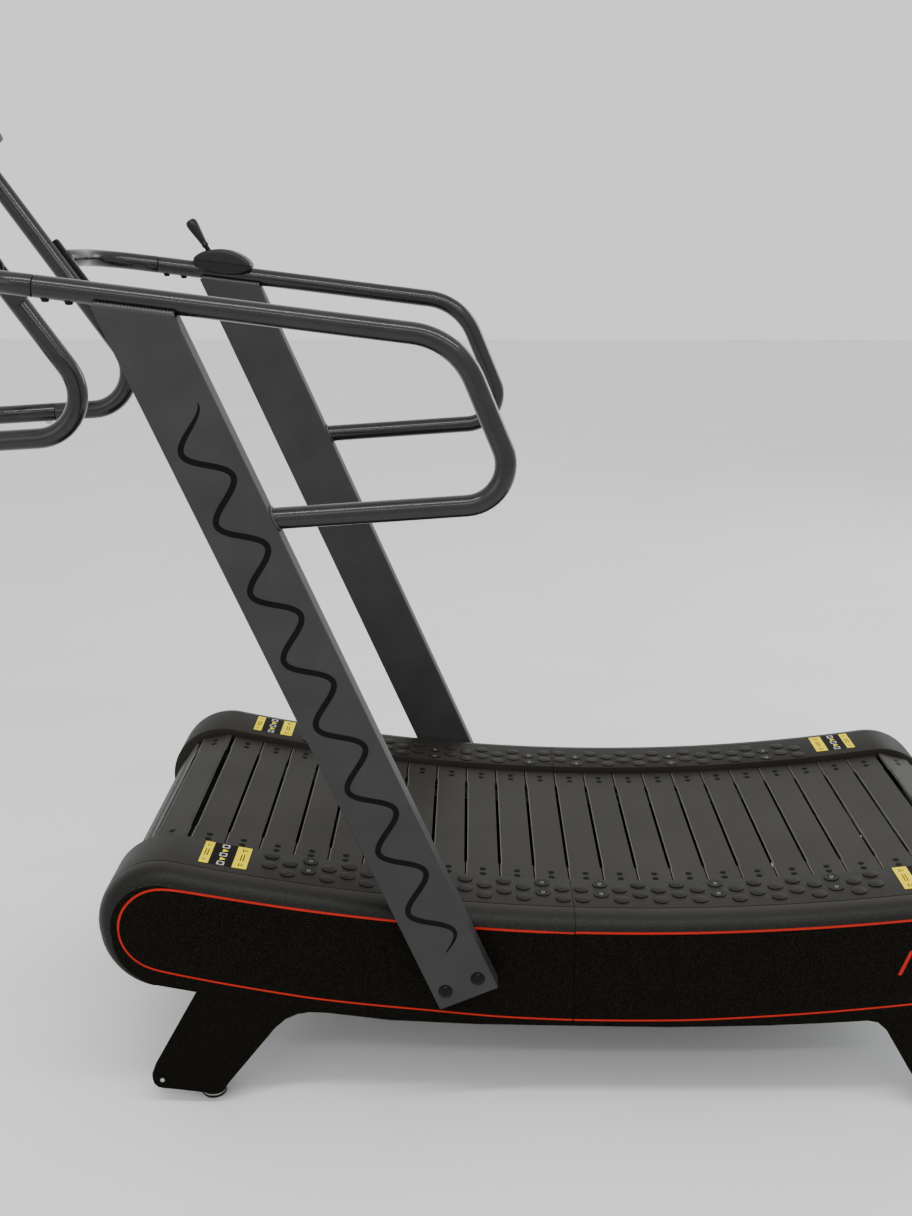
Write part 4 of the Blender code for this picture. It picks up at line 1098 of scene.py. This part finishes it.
def make_handrail(side):
    """The hand loop, with a thin rim at its front end and two screws from below."""
    name = SIDE_NAMES[side]
    path = rail_path(side)
    rings = rings_along(path, RAIL_RADIUS, 32)
    along = (path[-1] - path[-2]).normalized()
    rear, normal = upright_rear()
    last = [p + along * (rear + normal * 0.0003 - p).dot(normal) / along.dot(normal) for p in rings[-1]]
    slope = (path[1] - path[0]).normalized()
    lip = rings_along([path[0], path[0] + slope], RAIL_RADIUS - 0.0010, 32)[0]
    second = rings_along([path[0] + slope * 0.0011, path[0] + slope], RAIL_RADIUS, 32)[0]
    rings = [lip, second] + rings[1:-1] + [last]
    shape = Shape()
    shape.add(lofted(rings), 0)
    shape.build(f"handrail_tube_{name}", "base", ("pearl",), "tube_paint", (f"handrail_{name}",), smooth=40)

    screws = Shape()
    for point in link_bolt_points(side * RAIL_Y):
        place = frame_at(point - Z_AXIS * (RAIL_RADIUS - 0.0006), -Z_AXIS, X_AXIS)
        screws.add(turned([(0.0072, -0.0012), (0.0072, 0.0006)], place, 28), 0)
        profile = [(0.0058, 0.0004), (0.0058, 0.0030), (0.0052, 0.0042), (0.0036, 0.0050)]
        screws.add(turned(profile, place, 24), 0)
        screws.add(turned([(0.0024, 0.0030), (0.0024, 0.00505)], place, 6), 1)
    looks = ("black_screw", "ink")
    screws.build(f"rail_screws_{name}", "base", looks, "bare_steel", (f"link_bolts_{name}",), smooth=40)


def make_link(side):
    """The tube that carries the handrail forward and inward, and its plug in the joint."""
    name = SIDE_NAMES[side]
    slope = Vector((-1.0, 0.0, RAIL_SLOPE)).normalized()
    start = Vector((JOINT_X - 0.0009, side * RAIL_Y, rail_height(JOINT_X)))
    corner = start + slope * 0.125
    end = Vector((corner.x - 0.002, side * (ARM_Y + ARM_RADIUS + 0.0030), corner.z + 0.002))
    path = bent([(start, 0), (corner, 0.095), (end, 0)], 16)
    shape = Shape()
    shape.add(tube(path, RAIL_RADIUS, 32), 0)
    shape.add(tube([start + slope * 0.006, start - slope * 0.006], RAIL_RADIUS - 0.0022, 24, 0.0002), 1)
    ring = rings_along([end - (end - path[-2]).normalized() * 0.0015, end], RAIL_RADIUS + 0.0010, 40)[0]
    # Weld ring in the lighter weld colour, a painted highlight.
    shape.add(bead(ring, 0.0020, closed=True), 2)
    looks = ("pearl", "ink", "weld")
    shape.build(f"rail_link_{name}", "base", looks, "tube_paint", (f"handrail_link_{name}",), smooth=40)


def arm_path(side):
    y = side * ARM_Y
    corners = [((SEAM + ARM_TOP[0], y, ARM_TOP[1]), 0), ((SEAM + ARM_HEEL[0], y, ARM_HEEL[1]), 0.072)]
    corners += [((SEAM - 0.930, y, 1.0803), 0)]
    return bent(corners, 16)


def make_arm(side):
    """The hooked arm with its side plate, a closing cap and the weld around the plate."""
    name = SIDE_NAMES[side]
    shape = Shape()
    shape.add(tube(arm_path(side), ARM_RADIUS, 32), 0)
    slope = (Vector((ARM_HEEL[0], 0, ARM_HEEL[1])) - Vector((ARM_TOP[0], 0, ARM_TOP[1]))).normalized()
    across = Vector((-slope.z, 0.0, slope.x))
    middle = Vector((SEAM - 0.9010, 0, 1.3340))
    corners = []
    for a, b in ((-0.050, -0.008), (0.050, -0.008), (0.050, 0.024), (-0.050, 0.024)):
        point = middle + slope * a + across * b
        corners.append((point.x, point.z, 0.006))
    inner, outer = side * (ARM_Y + ARM_RADIUS - 0.003), side * (ARM_Y + ARM_RADIUS + 0.003)
    shape.add(side_prism(rounded(corners, 0.006, 5), min(inner, outer), max(inner, outer)), 0)
    for b in (-0.0070, 0.0110):
        start = middle + slope * -0.046 + across * b + Y_AXIS * (inner - side * 0.0010)
        finish = middle + slope * 0.046 + across * b + Y_AXIS * (inner - side * 0.0010)
        # Bead in the lighter weld colour, a painted highlight.
        shape.add(bead([start, finish], 0.0018), 1)
    looks = ("pearl", "weld")
    shape.build(f"console_arm_{name}", "base", looks, "tube_paint", (f"arm_{name}",), bevel=0.0008,
                smooth=40)


def make_grip_bar():
    """The front bar, with a clamp screw under each joint."""
    start = SEAM - 0.9303
    front = SEAM - 1.120
    corners = [((start, -ARM_Y, BAR_REAR_Z), 0), ((front, -ARM_Y, BAR_FRONT_Z), 0.070)]
    corners += [((front, ARM_Y, BAR_FRONT_Z), 0.070), ((start, ARM_Y, BAR_REAR_Z), 0)]
    shape = Shape()
    shape.add(tube(bent(corners, 14), ARM_RADIUS, 32), 0)
    for side in (-1, 1):
        point = Vector((start - 0.016, side * ARM_Y, BAR_REAR_Z - 0.0010 - ARM_RADIUS))
        place = frame_at(point, -Z_AXIS, X_AXIS)
        shape.add(turned([(0.0070, -0.0020), (0.0070, 0.0010)], place, 24), 1)
        shape.add(turned([(0.0052, 0.0004), (0.0052, 0.0034), (0.0042, 0.0044)], place, 24), 1)
    looks = ("pearl", "steel")
    shape.build("grip_bar_tube", "base", looks, "tube_paint", ("front_grip_bar",), smooth=40)


def make_uprights_and_tubes():
    for side in (-1, 1):
        make_upright(side)
        make_upright_motif(side)
        make_upright_bolts(side)
        make_upright_welds(side)
        make_handrail(side)
        make_link(side)
        make_arm(side)
    make_grip_bar()


# ---------------------------------------------------------------- console


def carve(obj, cutter):
    """Cuts a shape out of an object that has no other modifier."""
    mesh = bpy.data.meshes.new("cutter")
    mesh.from_pydata(cutter.points, [], cutter.faces)
    work = bmesh.new()
    work.from_mesh(mesh)
    bmesh.ops.recalc_face_normals(work, faces=work.faces)
    work.to_mesh(mesh)
    work.free()
    tool = bpy.data.objects.new("cutter", mesh)
    bpy.context.scene.collection.objects.link(tool)
    modifier = obj.modifiers.new("cut", "BOOLEAN")
    modifier.operation = "DIFFERENCE"
    modifier.solver = "EXACT"
    modifier.object = tool
    bpy.context.view_layer.update()
    graph = bpy.context.evaluated_depsgraph_get()
    cut = bpy.data.meshes.new_from_object(obj.evaluated_get(graph), preserve_all_data_layers=True,
                                          depsgraph=graph)
    obj.modifiers.remove(modifier)
    obj.data = cut
    cut.shade_smooth()
    cut.set_sharp_from_angle(angle=math.radians(35))
    bpy.data.objects.remove(tool, do_unlink=True)


CONSOLE_CENTRE = Vector((SEAM - 1.0375, 0.0, 1.6079))
CONSOLE_TILT = math.radians(40)
BUTTON_ROW = -0.048
BUTTON_YS = {"left": -0.045, "middle": 0.0, "right": 0.045}


def console_place():
    """The console's own frame: local X is up the face, local Y across it, local Z out of it."""
    facing = Vector((math.cos(CONSOLE_TILT), 0.0, math.sin(CONSOLE_TILT)))
    return frame_at(CONSOLE_CENTRE, facing, Z_AXIS)


def face_outline(ups, half, corner, inset):
    """A rounded rectangle on the console's face, drawn in from its edge by an inset."""
    low, high = ups[0] + inset, ups[1] - inset
    wide = half - inset
    corners = [(low, -wide), (high, -wide), (high, wide), (low, wide)]
    return rounded(corners, max(0.002, corner - inset), 6)


def make_console():
    place = console_place()

    def ring(ups, half, corner, inset, depth):
        return [place @ Vector((x, y, depth)) for x, y in face_outline(ups, half, corner, inset)]

    whole = (-0.085, 0.085)
    window = (-0.018, 0.066)
    rings = []
    for inset, depth in ((0.016, -0.0230), (0.0130, -0.0226), (0.0040, -0.0150), (0.0012, -0.0020),
                         (0.0000, 0.0020), (0.0000, 0.0118), (0.0008, 0.0136), (0.0028, 0.0149)):
        rings.append(ring(whole, 0.145, 0.024, inset, depth))
    rings.append(ring(window, 0.1140, 0.0080, -0.0008, 0.0150))
    rings.append(ring(window, 0.1140, 0.0080, 0.0004, 0.0144))
    rings.append(ring(window, 0.1140, 0.0080, 0.0016, 0.0118))
    shape = Shape()
    shape.add(lofted(rings), 0)
    housing = shape.build("console_case", "base", ("plastic",), "plastic", ("console_housing",), smooth=35)
    holes = Shape()
    for y in BUTTON_YS.values():
        at = place @ Matrix.Translation((BUTTON_ROW, y, 0))
        holes.add(turned([(0.0094, 0.0060), (0.0094, 0.0220)], at, 40))
    for x in (-0.0500, -0.0425, -0.0350, -0.0275, -0.0200):
        slit = rounded(rectangle(x, 0, 0.0014, 0.030), 0.0013, 3)
        holes.add(prism(slit, place @ Matrix.Translation((0.075, 0, 0)), -0.0260, -0.0200))
    carve(housing, holes)

    trim = Shape()
    for y in BUTTON_YS.values():
        at = place @ Matrix.Translation((BUTTON_ROW, y, 0))
        trim.add(ring_turned([(0.0095, 0.0140), (0.0124, 0.0140), (0.0124, 0.0156), (0.0116, 0.0163),
                              (0.0100, 0.0163), (0.0095, 0.0158)], at, 40), 0)
    for x, y in ((-0.068, -0.120), (-0.068, 0.120), (0.068, -0.120), (0.068, 0.120)):
        at = place @ Matrix.Translation((x, y, -0.0205)) @ Matrix.Rotation(math.pi, 4, "X")
        trim.add(turned([(0.0046, -0.004), (0.0046, 0.0020), (0.0036, 0.0032), (0.0018, 0.0034)], at, 20), 1)
        # Hexagon socket in the dark ink colour on the steel head: painted shade in the socket.
        trim.add(turned([(0.0016, 0.0020), (0.0016, 0.00345)], at, 6), 2)
    for y, count in ((-0.092, 1), (-0.078, 2), (0.078, 2), (0.092, 1)):
        for i in range(count):
            at = place @ Matrix.Translation((BUTTON_ROW + 0.006 * (i - (count - 1) / 2), y, 0))
            trim.add(turned([(0.0016, 0.0140), (0.0016, 0.0154), (0.0010, 0.0157)], at, 16), 0)
    trim.build("console_trim", "base", ("plastic_edge", "steel", "ink"), "plastic",
               smooth=40)

    glass = Shape()
    glass.add(lofted([ring(window, 0.1112, 0.0070, 0.0, 0.0120), ring(window, 0.1112, 0.0070, 0.0, 0.0144),
                      ring(window, 0.1112, 0.0070, 0.0006, 0.0149)]), 0)
    for y in (-0.074, 0.0, 0.074):
        for x, height in ((0.047, 0.016), (0.017, 0.024)):
            plan = rectangle(x, y, height / 2, 0.026)
            glass.add(prism(rounded(plan, 0.002, 3), place, 0.0140, 0.01496), 1)
            for i in range(4):
                left = y - 0.0195 + 0.0130 * i
                for rise in (-0.36, 0.0, 0.36):
                    bar = rectangle(x + rise * height, left, 0.0005, 0.0032)
                    glass.add(prism(bar, place, 0.0144, 0.01499), 2)
    looks = ("lens", "segment", "ink")
    glass.build("console_window", "base", looks, "lens", ("console_lens",), smooth=40)

    for name, y in BUTTON_YS.items():
        at = place @ Matrix.Translation((BUTTON_ROW, y, 0))
        button = Shape()
        profile = [(0.0088, 0.0085), (0.0088, 0.0166), (0.0082, 0.0173), (0.0066, 0.0175), (0.0030, 0.0171)]
        button.add(turned(profile, at, 40), 0)
        sign = 3 if name == "right" else 4 if name == "left" else 24
        button.add(turned([(0.0030, 0.0165), (0.0030, 0.01745)], at, sign), 1)
        button.build(f"button_cap_{name}", f"button_{name}", ("rubber", "plastic_edge"), "rubber",
                     (f"console_button_{name}",), smooth=40)

    reach = Y_AXIS * (ARM_Y - ARM_RADIUS - 0.0010)
    centre = Vector((SEAM - 1.0460, 0, 1.5420))
    bar = Shape()
    bar.add(tube([centre - reach, centre + reach], 0.0155, 32), 0)
    plan = [(-0.080, -0.045), (-0.010, -0.045), (-0.010, 0.045), (-0.080, 0.045)]
    bar.add(prism(rounded(plan, 0.006, 4), place, -0.0400, -0.0234), 0)
    for side in (-1, 1):
        ring_points = rings_along([centre + reach * side * 0.992, centre + reach * side], 0.0166, 32)[1]
        # Weld ring in the lighter weld colour, a painted highlight.
        bar.add(bead(ring_points, 0.0019, closed=True), 1)
    for x, y in ((-0.066, -0.030), (-0.066, 0.030), (-0.024, -0.030), (-0.024, 0.030)):
        at = place @ Matrix.Translation((x, y, -0.0398)) @ Matrix.Rotation(math.pi, 4, "X")
        bar.add(turned([(0.0052, -0.002), (0.0052, 0.0016), (0.0042, 0.0028), (0.0020, 0.0032)], at, 20), 2)
    looks = ("pearl", "weld", "steel")
    bar.build("console_bar", "base", looks, "tube_paint", ("console_crossbar",), bevel=0.0007, smooth=40)


# ---------------------------------------------------------------- resistance lever


def make_lever():
    pivot = PIVOTS["lever_swing"]
    middle = Vector((SEAM - 0.651, RAIL_Y, 1.3385))
    slope = Vector((1.0, 0.0, -RAIL_SLOPE)).normalized()
    up = Vector((RAIL_SLOPE, 0.0, 1.0)).normalized()
    shell = Shape()
    for sign, power, lift, seam in ((1, 1.3, 0.0245, 0.0004), (-1, 0.8, 0.0205, -0.0006)):
        length = 0.0560
        outline = []
        for i in range(33):
            angle = math.pi * i / 32
            along = length * math.cos(angle)
            height = seam + sign * lift * max(0.0, math.sin(angle)) ** power
            outline.append((along, height))
        rings = []
        for y, shrink in ((-0.0250, 0.0052), (-0.0246, 0.0030), (-0.0232, 0.0011), (-0.0205, 0.0),
                          (0.0205, 0.0), (0.0232, 0.0011), (0.0246, 0.0030), (0.0250, 0.0052)):
            ring = []
            for along, height in outline:
                keep = max(0.0, 1 - shrink / length * 1.4)
                tall = seam + (height - seam) * max(0.0, 1 - shrink / lift * 1.2)
                point = middle + slope * along * keep + up * tall
                ring.append(Vector((point.x, RAIL_Y + y * (1 if sign > 0 else 0.94), point.z)))
            rings.append(ring)
        shell.add(lofted(rings), 0)
    case = shell.build("lever_case", "base", ("plastic",), "plastic", ("lever_housing",), smooth=40)
    cut = Shape()
    slot = [(SEAM - 0.698, 1.330), (SEAM - 0.628, 1.330), (SEAM - 0.628, 1.40), (SEAM - 0.698, 1.40)]
    cut.add(side_prism(slot, RAIL_Y - 0.0065, RAIL_Y + 0.0065))
    carve(case, cut)

    pin = Shape()
    place = frame_at(Vector((pivot.x, RAIL_Y, pivot.z)), Y_AXIS, X_AXIS)
    pin.add(turned([(0.0026, -0.0225), (0.0026, 0.0225)], place, 24), 0)
    for side in (-1, 1):
        flip = place @ Matrix.Rotation(math.pi if side < 0 else 0, 4, "X")
        pin.add(turned([(0.0040, 0.0205), (0.0040, 0.0232), (0.0032, 0.0240)], flip, 24), 0)
        pin.add(turned([(0.0019, 0.0225), (0.0019, 0.02405)], flip, 6), 1)
    pin.build("lever_pin", "base", ("black_screw", "ink"), "bare_steel", ("lever_pivot_pin",))

    rise = Vector((-math.sin(math.radians(31)), 0.0, math.cos(math.radians(31))))
    stem = Shape()
    hub = [(0.0031, -0.0058), (0.0098, -0.0058), (0.0105, -0.0051), (0.0105, 0.0051), (0.0098, 0.0058),
           (0.0031, 0.0058)]
    stem.add(ring_turned(hub, place, 40), 0)
    base = Vector((pivot.x, RAIL_Y, pivot.z))
    rod = frame_at(base, rise, X_AXIS)
    stem.add(turned([(0.0046, 0.0085), (0.0048, 0.0095), (0.0048, 0.0510), (0.0040, 0.0520)], rod, 28), 0)
    stem.build("lever_rod", "lever", ("black_screw",), "bare_steel", ("lever_stem",), smooth=40)

    grip = Shape()
    profile = [(0.0052, 0.0236), (0.0066, 0.0242), (0.0070, 0.0252), (0.0070, 0.0270), (0.0064, 0.0280),
               (0.0060, 0.0288), (0.0064, 0.0330), (0.0076, 0.0420), (0.0091, 0.0520), (0.0104, 0.0610),
               (0.0111, 0.0680), (0.0112, 0.0722), (0.0106, 0.0758), (0.0092, 0.0784), (0.0070, 0.0801),
               (0.0036, 0.0808)]
    grip.add(turned(profile, rod, 40), 0)
    grip.build("lever_handle", "lever", ("plastic",), "rubber", ("lever_grip",), smooth=50)


# ---------------------------------------------------------------- feet and wheels


def make_foot(end_name, side):
    """A levelling foot: rubber sole, steel dish, threaded stud and two hexagon nuts."""
    name = f"{end_name}_{SIDE_NAMES[side]}"
    place = Matrix.Translation((FOOT_PLACES[end_name], side * FOOT_Y, 0.0))
    shape = Shape()
    sole = [(0.0180, 0.0), (0.0190, 0.0004), (0.0203, 0.0022), (0.0205, 0.0034), (0.0205, 0.0064)]
    shape.add(turned(sole, place, 48), 0)
    dish = [(0.0198, 0.0060), (0.0205, 0.0066), (0.0203, 0.0080), (0.0180, 0.0094), (0.0130, 0.0112),
            (0.0088, 0.0136), (0.0078, 0.0150), (0.0076, 0.0180)]
    shape.add(turned(dish, place, 48), 1)
    nut = [(0.0072, 0.0178), (0.0088, 0.0184), (0.0088, 0.0262), (0.0074, 0.0272)]
    shape.add(turned(nut, place, 6), 1)
    shape.add(turned([(0.0074, 0.0343), (0.0088, 0.0350), (0.0088, 0.0412), (0.0074, 0.0420)],
                     place @ Matrix.Rotation(0.3, 4, "Z"), 6), 1)
    thread = [(0.0042, 0.0150)]
    for i in range(36):
        z = 0.0170 + 0.00125 * i
        thread += [(0.0043, z), (0.0050, z + 0.0005)]
    thread += [(0.0042, 0.0620)]
    shape.add(turned(thread, place, 24), 1)
    looks = ("rubber", "steel")
    shape.build(f"foot_{name}_pad", f"foot_{name}", looks, "rubber", (f"levelling_foot_{name}",), smooth=36)


def make_wheel(side):
    """A transport wheel: a grooved rubber tyre on a moulded hub, and its axle bolt."""
    name = SIDE_NAMES[side]
    place = frame_at(WHEEL_CENTRE, Y_AXIS, X_AXIS)
    low, high = sorted((side * 0.3430, side * 0.3700))
    tyre = [(0.0125, low), (0.0185, low), (0.0196, low + 0.0006), (0.0200, low + 0.0020)]
    for groove in (0.34, 0.66):
        y = low + (high - low) * groove
        tyre += [(0.0200, y - 0.0010), (0.0191, y - 0.0006), (0.0191, y + 0.0006), (0.0200, y + 0.0010)]
    tyre += [(0.0200, high - 0.0020), (0.0196, high - 0.0006), (0.0185, high), (0.0125, high)]
    shape = Shape()
    shape.add(ring_turned(tyre, place, 56), 0)
    half_hub = ((0.0045, 0.0004), (0.0085, 0.0004), (0.0090, 0.0030), (0.0120, 0.0030), (0.0124, 0.0006),
                (0.0128, 0.0006))
    hub = [(radius, low + inset) for radius, inset in half_hub]
    hub += [(radius, high - inset) for radius, inset in half_hub[::-1]]
    shape.add(ring_turned(hub, place, 48), 1)
    looks = ("rubber", "plastic")
    node = f"transport_wheel_{name}"
    shape.build(f"wheel_{name}_tyre", f"wheel_{name}", looks, "rubber", (node,), smooth=36)

    bolt = Shape()
    outward = frame_at(WHEEL_CENTRE, Y_AXIS * side, X_AXIS)
    bolt.add(turned([(0.0040, 0.3425), (0.0040, 0.3790)], outward, 24), 0)
    bolt.add(turned([(0.0066, 0.3783), (0.0066, 0.3795), (0.0060, 0.3800)], outward, 32), 1)
    bolt.add(turned([(0.0038, 0.3794), (0.0037, 0.3808), (0.0028, 0.3813)], outward, 16), 0)
    bolt.add(turned([(0.0062, 0.3360), (0.0070, 0.3367), (0.0070, 0.3418), (0.0062, 0.3425)], outward, 6), 0)
    bolt.build(f"wheel_axle_{name}", "base", ("steel", "ink"), "bare_steel", (f"wheel_bolt_{name}",),
               smooth=36)


# ---------------------------------------------------------------- inner works


def dress(node, look, bevel=0.0):
    """A CAD node kept as it is, with a finished material and eased edges."""
    obj = NODES[node]
    obj.data.materials.clear()
    obj.data.materials.append(LOOKS[look])
    obj.data.polygons.foreach_set("material_index", [0] * len(obj.data.polygons))
    if bevel:
        round_edges(obj, bevel)
    else:
        split = obj.modifiers.new("flat_faces", "EDGE_SPLIT")
        split.split_angle = math.radians(32)


def make_idler_rollers(side):
    """Sealed bearings in place of the plain rollers on an idler rail, one by one along the strip."""
    shape = Shape()
    for i in range(9):
        point, normal = on_deck(SEAM - 0.52 + ROLLER_PITCH * i)
        centre = point - normal * (BELT_DROP + 0.0165 + 0.0004 + 0.012)
        place = frame_at(centre, Y_AXIS * side, X_AXIS)
        rim = [(0.0075, 0.1860), (0.0112, 0.1860), (0.0120, 0.1868), (0.0120, 0.2132), (0.0112, 0.2140),
               (0.0075, 0.2140)]
        shape.add(ring_turned(rim, place, 32), 0)
        shape.add(turned([(0.0076, 0.1872), (0.0076, 0.2128)], place, 24), 1)
        shape.add(turned([(0.0040, 0.1850), (0.0040, 0.2245)], place, 20), 2)
        shape.add(turned([(0.0066, 0.2150), (0.0066, 0.2252)], place, 6), 2)
    count = 48
    rings = []
    for i in range(count + 1):
        point, normal = on_deck(SEAM - 0.57 + 1.14 * i / count)
        section = ((0.225, 0.034), (0.231, 0.034), (0.231, 0.072), (0.225, 0.072))
        rings.append([point - normal * drop + Y_AXIS * side * y for y, drop in section])
    shape.add(lofted(rings), 3)
    name = SIDE_NAMES[side]
    looks = ("brushed", "ink", "steel", "alloy")
    shape.build(f"idlers_{name}", "base", looks, "alloy", (f"idler_rail_{name}",), bevel=0.0006, smooth=36)


def make_flange_lip(side):
    """A narrow lip folded down along the inner edge of the frame's lower flange."""
    rings = []
    for i in range(38):
        x = SEAM - 0.566 + 0.032 * i
        z = belly_height(x)
        section = ((0.2542, -0.0050), (0.2562, -0.0050), (0.2562, 0.0055), (0.2542, 0.0055))
        rings.append([Vector((x, side * y, z + lift)) for y, lift in section])
    shape = Shape()
    shape.add(lofted(rings))
    shape.build(f"flange_lip_{SIDE_NAMES[side]}", "base", ("frame",), "frame_paint", smooth=40)


def make_inner_works():
    for side_name in ("left", "right"):
        dress(f"side_plate_{side_name}", "panel", 0.0008)
        dress(f"step_rail_{side_name}", "frame", 0.0008)
        for end_name in ("front", "rear"):
            dress(f"bearing_block_{end_name}_{side_name}", "frame", 0.0015)
    for end_name in ("front", "middle", "rear"):
        dress(f"cross_member_{end_name}", "frame", 0.0020)
    for end_name in ("front", "rear"):
        dress(f"{end_name}_drum", "frame")
        dress(f"{end_name}_shaft", "brushed", 0.0012)
    dress("brake_disc", "brushed", 0.0006)
    dress("brake_magnet_holder", "plastic", 0.0012)
    dress("brake_pivot_pin", "steel", 0.0006)
    for side in (-1, 1):
        make_idler_rollers(side)
        make_flange_lip(side)


# ---------------------------------------------------------------- stage


def floor_look():
    made, tree, shader = nodes_of("floor_pale")
    drift = noise(tree, 1.4, 4.0)
    tone = ramp(tree, drift, [(0.30, (0.83, 0.83, 0.83)), (0.70, (0.87, 0.87, 0.87))])
    tree.links.new(tone, shader.inputs["Base Color"])
    shader.inputs["Roughness"].default_value = 0.75
    shader.inputs["Specular IOR Level"].default_value = 0.15
    return made


def area_light(name, place, aim, size, power, colour=(1, 1, 1)):
    light = bpy.data.lights.new(name, "AREA")
    light.shape = "RECTANGLE"
    light.size, light.size_y = size
    light.energy = power
    light.color = colour
    obj = bpy.data.objects.new(name, light)
    obj.location = place
    obj.rotation_euler = (Vector(aim) - Vector(place)).to_track_quat("-Z", "Y").to_euler()
    bpy.context.scene.collection.objects.link(obj)


def make_stage():
    mesh = bpy.data.meshes.new("floor")
    reach = 14.0
    corners = [(-reach, -reach, 0), (reach, -reach, 0), (reach, reach, 0), (-reach, reach, 0)]
    mesh.from_pydata(corners, [], [(0, 1, 2, 3)])
    floor = bpy.data.objects.new("floor", mesh)
    floor.data.materials.append(floor_look())
    bpy.context.scene.collection.objects.link(floor)

    world = bpy.data.worlds.new("studio")
    world.use_nodes = True
    background = world.node_tree.nodes["Background"]
    background.inputs["Color"].default_value = (0.97, 0.985, 1.0, 1.0)
    background.inputs["Strength"].default_value = 1.12
    bpy.context.scene.world = world

    area_light("ceiling_strip_near", (0.3, -1.5, 3.4), (0.1, -0.2, 0.6), (3.6, 0.18), 56)
    area_light("ceiling_strip_front", (0.3, -3.6, 3.2), (0.1, 0.0, 0.8), (3.6, 0.16), 26)
    area_light("window", (3.4, 3.0, 2.6), (0.2, 0.0, 0.6), (2.4, 2.0), 60, (0.95, 0.98, 1.0))
    area_light("fill", (-2.6, -3.2, 2.2), (0.0, 0.0, 0.7), (2.2, 1.8), 16, (1.0, 0.98, 0.95))

    data = bpy.data.cameras.new("view")
    data.sensor_fit = "AUTO"
    data.sensor_width = 36
    data.lens = 40.855
    camera = bpy.data.objects.new("view", data)
    camera.location = (0.0150, -2.3609, 1.433)
    camera.rotation_euler = (math.radians(90 - 16.01), 0.0, math.radians(0.59))
    bpy.context.scene.collection.objects.link(camera)
    bpy.context.scene.camera = camera


LOOKS = make_looks()
make_belt()
make_covers()
make_uprights_and_tubes()
make_console()
make_lever()
for side_of in (-1, 1):
    make_foot("front", side_of)
    make_foot("rear", side_of)
    make_wheel(side_of)
make_inner_works()
make_stage()
